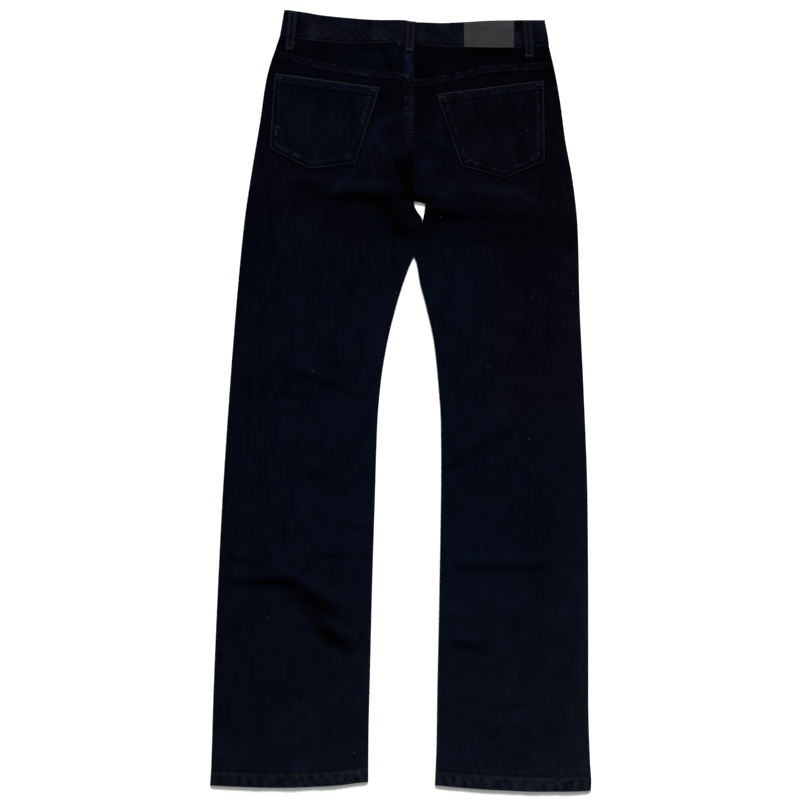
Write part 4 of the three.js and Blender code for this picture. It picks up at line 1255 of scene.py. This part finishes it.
def build_loop(name, top_x, foot_x, end, raised):
    share = steps((0, 1, 0.02))[:, None]
    half = both_ways([0.15, 0.28, 0.36, 0.42, 0.47, 0.5])
    top = waist_top(top_x) - LOOP_START
    x = lerp(top_x, foot_x, share) + half * LOOP_WIDTH
    y = lerp(top, end, share) + 0 * half
    on_yoke = y < waist_seam(x)
    under = np.where(on_yoke, draped(side_of(top_x), x, y) + raised, band_top(x))
    under = np.maximum(under, band_top(x) * (y > waist_seam(x) - 3) - 3)
    arch = LOOP_ARCH * np.sin(np.pi * share)
    rim = fade((0.5 - np.abs(half)) * LOOP_WIDTH, 0.7)
    waves = puckers(y, half * LOOP_WIDTH, 9, 0.4, 51)
    from_middle = np.abs(half) * LOOP_WIDTH
    rise = -0.6 * rim + groove(from_middle, 4.3, 0.3) + groove(from_middle, 0, 0.5, 1) + 0.14 * waves
    tone = 1 + 1.1 * hump((from_middle - 3.8) / 2.6) * (1 + 0.4 * waves) - 0.5 * fade(from_middle, 1.2)
    face = grid3(x, y, under + GAP + LOOP + arch + rise)
    lining = grid3(x, y, under + GAP + arch)
    shades = {"worn": 0.8, "warm": 0.7}
    piece = make_shell("cloth_" + name, name, face, lining, tone, denim_band, "denim_band", **shades)
    return [face[3:-3, k] for k in (2, 10)]


def build_front_loop(name, middle):
    share = steps((0, 1, 0.05))[:, None]
    half = both_ways([0.2, 0.36, 0.45, 0.5])
    x = middle + half * LOOP_WIDTH + 0 * share
    y = lerp(front_top(x), front_seam(x), share)
    rim = fade((0.5 - np.abs(half)) * LOOP_WIDTH, 0.7)
    face = grid3(x, y, 0.5 * rim)
    lining = grid3(x, y, LOOP + 0 * x)
    piece = make_shell("cloth_" + name, name, face, lining, 1.2 + 0.4 * rim, denim_band, "denim_band")
    length = (front_top(middle) - front_seam(middle)) * MM
    return [grid3(x[:, k], y[:, k], 0.1)[2:-2] for k in (2, 6)]


def build_patch():
    u = steps((0, 0.03, 0.006), (0.03, 0.97, 0.02), (0.97, 1, 0.006))[None, :]
    v = steps((0, 0.06, 0.012), (0.06, 0.94, 0.04), (0.94, 1, 0.012))[:, None]
    x = lerp(PATCH_LEFT, PATCH_RIGHT, u) + 0 * v
    top, low = waist_top(x) - PATCH_BELOW, waist_seam(x) + PATCH_ABOVE
    y = lerp(top, low, v)
    side_gap = np.minimum(x - PATCH_LEFT, PATCH_RIGHT - x)
    rim = np.minimum(side_gap, np.minimum(top - y, y - low))
    rise = PATCH - 0.6 * fade(rim, 0.6) + groove(rim, 2.4, 0.25) + 0.12 * ripple(x, y, 30, 61)
    face = grid3(x, y, band_top(x) + GAP + rise)
    lining = grid3(x, y, band_top(x) + GAP)
    tone = 1 + 0.2 * fade(rim, 1.2)
    piece = make_shell("leather_patch", "waist_patch", face, lining, tone, leather, "patch")


def build_zip():
    x = np.linspace(ZIP_LEFT, ZIP_RIGHT, 17)[None, :]
    y = np.linspace(ZIP_TOP, ZIP_BOTTOM, 60)[:, None]
    face = grid3(x, y, ZIP_LIE)
    lining = grid3(x, y, ZIP_LIE - CLOTH)
    piece = make_shell("zip_tape", "zip_fly", face, lining, 1, tape, "tape")


def build_teeth():
    """The closed zip's teeth, taken in turn from each side of the tape's middle, under the back."""
    middle = (ZIP_LEFT + ZIP_RIGHT) / 2
    y = np.arange(ZIP_BOTTOM + 12, ZIP_TOP - 4, TOOTH_PITCH)
    way = np.where(np.arange(len(y)) % 2 == 0, -1, 1)
    corner = np.array([(-1, -1), (1, -1), (1, 1), (-1, 1)])
    length, width, height = TOOTH_SIZE
    rings = []
    for level, share in ((0, 1), (0.7, 1), (1, 0.6)):
        spot_x = (middle + way * length * 0.3)[:, None] + corner[:, 0] * share * length / 2
        spot_y = y[:, None] + corner[:, 1] * share * width / 2
        rings.append(grid3(spot_x, spot_y, ZIP_LIE + level * height))
    points = np.concatenate(rings, axis=1)
    around = [[k, (k + 1) % 4, (k + 1) % 4 + 4, k + 4] for k in range(4)]
    body = around + [[a + 4 for a in quad] for quad in around] + [[3, 2, 1, 0], [8, 9, 10, 11]]
    faces = (np.array(body) + 12 * np.arange(len(y))[:, None, None]).reshape(-1, 4)
    make_piece("zip_teeth", points.reshape(-1, 3), faces, metal, "button")


# Sewing

def on_back(side, x, y):
    rise, _ = seam_form(side, x, y)
    return grid3(x, y, draped(side, x, y) + rise + THREAD_LIFT)


def hem_row(side, inset, count):
    """X and Y of the row of points that the hem's stitches follow, in from both edges of a leg."""
    y = hem_edge(outer[side](HEM_LEVEL + HEM_ROW)) + HEM_ROW
    inset = INWARD[side] * inset
    x = np.linspace(outer[side](y) + inset, inner[side](y) - inset, count)
    return x, hem_edge(x) + HEM_ROW


def back_rows(side):
    end = outer[side](470 if side == "left" else 480)
    x = np.linspace(CENTRE - INWARD[side] * 1.5, end + INWARD[side] * 5, 160)
    runs = [on_back(side, x, yoke_seam(x) - row) for row in YOKE_ROWS]
    return runs + [on_back(side, *hem_row(side, 5, 160))]


def centre_rows(start, end):
    y = np.linspace(start, end, 140)
    return [on_back("left", CENTRE - row + 0 * y, y) for row in CENTRE_ROWS[:2]]


def inset_polygon(side, inset):
    """A pocket's sewn edges moved in by inset, from its upper left corner round to its upper right."""
    edges = pocket_edges(side)
    lines = [(start + inward * inset, along) for start, along, inward in edges]
    corner, along, inward = edges[0]
    lines[0] = (corner + inward * POCKET_START, along)

    def meet(a, b):
        (p, d), (q, e) = a, b
        t = np.linalg.solve(np.array([d, -e]).T, q - p)[0]
        return p + d * t

    order = [0, 4, 3, 2, 1, 0]
    return [meet(lines[a], lines[b]) for a, b in zip(order, order[1:])]


def dense(corners):
    """Points about 2 mm apart along straight lines between corners."""
    step = 2
    points = []
    for start, end in zip(corners[:-1], corners[1:]):
        count = max(2, int(np.linalg.norm(end - start) / step))
        points += [lerp(start, end, i / count) for i in range(count)]
    return np.array(points + [corners[-1]])


def on_pocket(side, corners):
    x, y = dense(corners).T
    return grid3(x, y, pocket_height(side, x, y)[0] + THREAD_LIFT)


def pocket_rows(side):
    runs = [on_pocket(side, inset_polygon(side, row)) for row in POCKET_ROWS]
    left, right, low_right, _, low_left = np.array(POCKETS[side])
    inset = (right - left) * 0.02
    for row in POCKET_HEM_ROWS:
        start = left + unit(low_left - left) * row + inset
        end = right + unit(low_right - right) * row - inset
        runs.append(on_pocket(side, [start, end]))
    return runs


def waistband_rows():
    x = np.linspace(band_end["left"] + 4, band_end["right"] - 4, 300)
    share = 1 - BAND_ROW / BAND_DEPTH
    y = lerp(waist_top(x), waist_seam(x), share)
    rise = band_form(x, share + 0 * x)[0]
    return [grid3(band_x(x, y, waist_seam(x)), y, band_top(x) + rise + 0.15)]


def zigzag(middle, swing, length, turns, height):
    """The tight zigzag of a bar tack: its middle, its swing to each side, and the length it covers."""
    share = np.linspace(0, 1, turns * 2 + 1)[:, None]
    way = np.where(np.arange(len(share)) % 2 == 0, -1, 1)[:, None]
    x, y = (np.array(middle) + way * np.array(swing) + (share - 0.5) * np.array(length)).T
    return grid3(x, y, height(x, y))


def loop_tacks(_, top_x, foot_x, end, raised):
    """The bar tacks at the foot and at the top of a belt loop."""
    length = (LOOP_WIDTH - 2, 0)

    def at_foot(x, y):
        return draped(side_of(top_x), x, y) + raised + TACK_OVER

    def at_top(x, y):
        return band_top(x) + TACK_OVER

    foot = (lerp(foot_x, top_x, 0.05), end + 3.2)
    top = (top_x, waist_top(top_x) - 2.6)
    return [
        zigzag(foot, (0, 1.1), length, TACK_TURNS, at_foot),
        zigzag(top, (0, 1), length, TACK_TURNS, at_top),
    ]


def pocket_tacks(side):
    """The level bar tacks at the upper corners of a back pocket."""
    left, right, low_right, _, low_left = np.array(POCKETS[side])

    def height(x, y):
        return pocket_height(side, x, y)[0] + 0.15

    runs = []
    for corner, low, other in ((left, low_left, right), (right, low_right, left)):
        down, inward = unit(low - corner), unit(other - corner)
        runs.append(zigzag(corner + down * 5 + inward * 7, down, inward * 9, 11, height))
    return runs


def front_rows():
    """Plain rows on the hidden front: pocket mouths, fly, centre and hems."""
    runs = []
    share = np.linspace(0.02, 0.985, 90)
    for side in SIDES:
        for inset in MOUTH_ROWS:
            x = mouth_x(side, share) + INWARD[side] * inset
            runs.append((x, mouth_y(x, share)))
        runs.append(hem_row(side, 4, 120))
    start = front_seam(CENTRE) - 2
    y = np.linspace(start, CROTCH + 8, 90)
    runs += [(CENTRE - inset, y) for inset in FRONT_CENTRE_ROWS]
    straight = np.linspace(start, FLY_BEND, 50)
    angle = np.linspace(0, math.pi / 2, 30)
    for inset in FLY_ROWS:
        x = np.concatenate([CENTRE + inset + 0 * straight, CENTRE + inset * np.cos(angle)])
        runs.append((x, np.concatenate([straight, FLY_BEND - inset * 0.9 * np.sin(angle)])))
    return [grid3(x, y, PLAIN_LEVEL) for x, y in runs]


for side in SIDES:
    build_front(side)
    build_facing(side)
    build_back(side)
    build_yoke(side)
    build_pocket(side)
build_waistband()
loop_runs = [run for loop in BACK_LOOPS for run in build_loop(*loop)]
front_loop_runs = [run for loop in FRONT_LOOPS for run in build_front_loop(*loop)]
tack_runs = [run for loop in BACK_LOOPS for run in loop_tacks(*loop)]
tack_runs += [run for side in SIDES for run in pocket_tacks(side)]
build_patch()
build_zip()
build_teeth()

for side in SIDES:
    stitches("stitches_back_" + side, back_rows(side), thread, "denim")
    stitches("stitches_pocket_" + side, pocket_rows(side), thread, "denim")
stitches("stitches_centre", centre_rows(*CENTRE_SEWN), thread, "denim")
# Where the centre seam lies in the crotch's shadow its stitches take the thread in painted shade.
stitches("stitches_crotch", centre_rows(*CROTCH_SEWN), shaded_thread, "denim")
stitches("stitches_waistband", waistband_rows(), thread, "denim_band")
stitches("stitches_loops", loop_runs, thread, "denim_band", pitch=3.6, radius=0.32)
stitches("bar_tacks", tack_runs, pale_thread, "denim_band", pitch=2.2, filled=0.95, radius=0.36)
stitches("stitches_front", front_rows() + front_loop_runs, thread, "denim", up=-1)

for node in bpy.data.objects:
    if node.get("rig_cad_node") == "waist_button":
        node.data.materials.clear()
        node.data.materials.append(metal)


# Floor, lights and camera

def add_floor():
    """A pale floor that can be seen through from below."""
    nodes = Nodes("floor_white")
    cloud = nodes.noise(2, 3)
    colour = nodes.mix(cloud, (0.86, 0.86, 0.86), (0.9, 0.9, 0.9))
    nodes.fill(nodes.shader, {"Base Color": colour, "Roughness": 1, "Specular IOR Level": 0})
    behind = nodes.add("ShaderNodeNewGeometry", "Backfacing")
    clear = nodes.add("ShaderNodeBsdfTransparent", "BSDF")
    inputs = {"Fac": behind, 1: nodes.shader.outputs["BSDF"], 2: clear}
    chosen = nodes.add("ShaderNodeMixShader", "Shader", inputs)
    nodes.fill(nodes.tree.nodes["Material Output"], {"Surface": chosen})
    mesh = bpy.data.meshes.new("floor")
    corners = [(-1, -1), (1, -1), (1, 1), (-1, 1)]
    points = [(x * FLOOR_HALF, y * FLOOR_HALF, FLOOR_LOW) for x, y in corners]
    mesh.from_pydata(points, [], [(0, 1, 2, 3)])
    mesh.materials.append(nodes.material)
    floor = add_object("floor", mesh)


def add_light():
    """One broad, even light, as from a large soft box far off. Its spread is in degrees."""
    data = bpy.data.lights.new("key", "SUN")
    data.energy = KEY_STRENGTH
    data.angle = math.radians(KEY_SPREAD)
    light = add_object("key", data)
    light.location = KEY_FROM
    light.rotation_euler = (-light.location).to_track_quat("-Z", "Y").to_euler()


def add_surround():
    world = bpy.data.worlds.new("studio")
    world.use_nodes = True
    back = world.node_tree.nodes["Background"]
    back.inputs["Color"].default_value = (1, 1, 1, 1)
    back.inputs["Strength"].default_value = SURROUND_STRENGTH
    bpy.context.scene.world = world


def add_camera():
    """Straight above, with the jeans in the same place and at the same size as in the photograph."""
    data = bpy.data.cameras.new("camera")
    data.sensor_width = SENSOR
    data.lens = SENSOR * CAMERA_HEIGHT / (PHOTO_PIXELS * PIXEL * MM)
    data.clip_end = 50
    camera = add_object("camera", data)
    camera.location = (CAMERA_X * MM, CAMERA_Y * MM, CAMERA_HEIGHT)
    bpy.context.scene.camera = camera


add_floor()
add_light()
add_surround()
add_camera()
bpy.context.scene.view_settings.view_transform = "Standard"
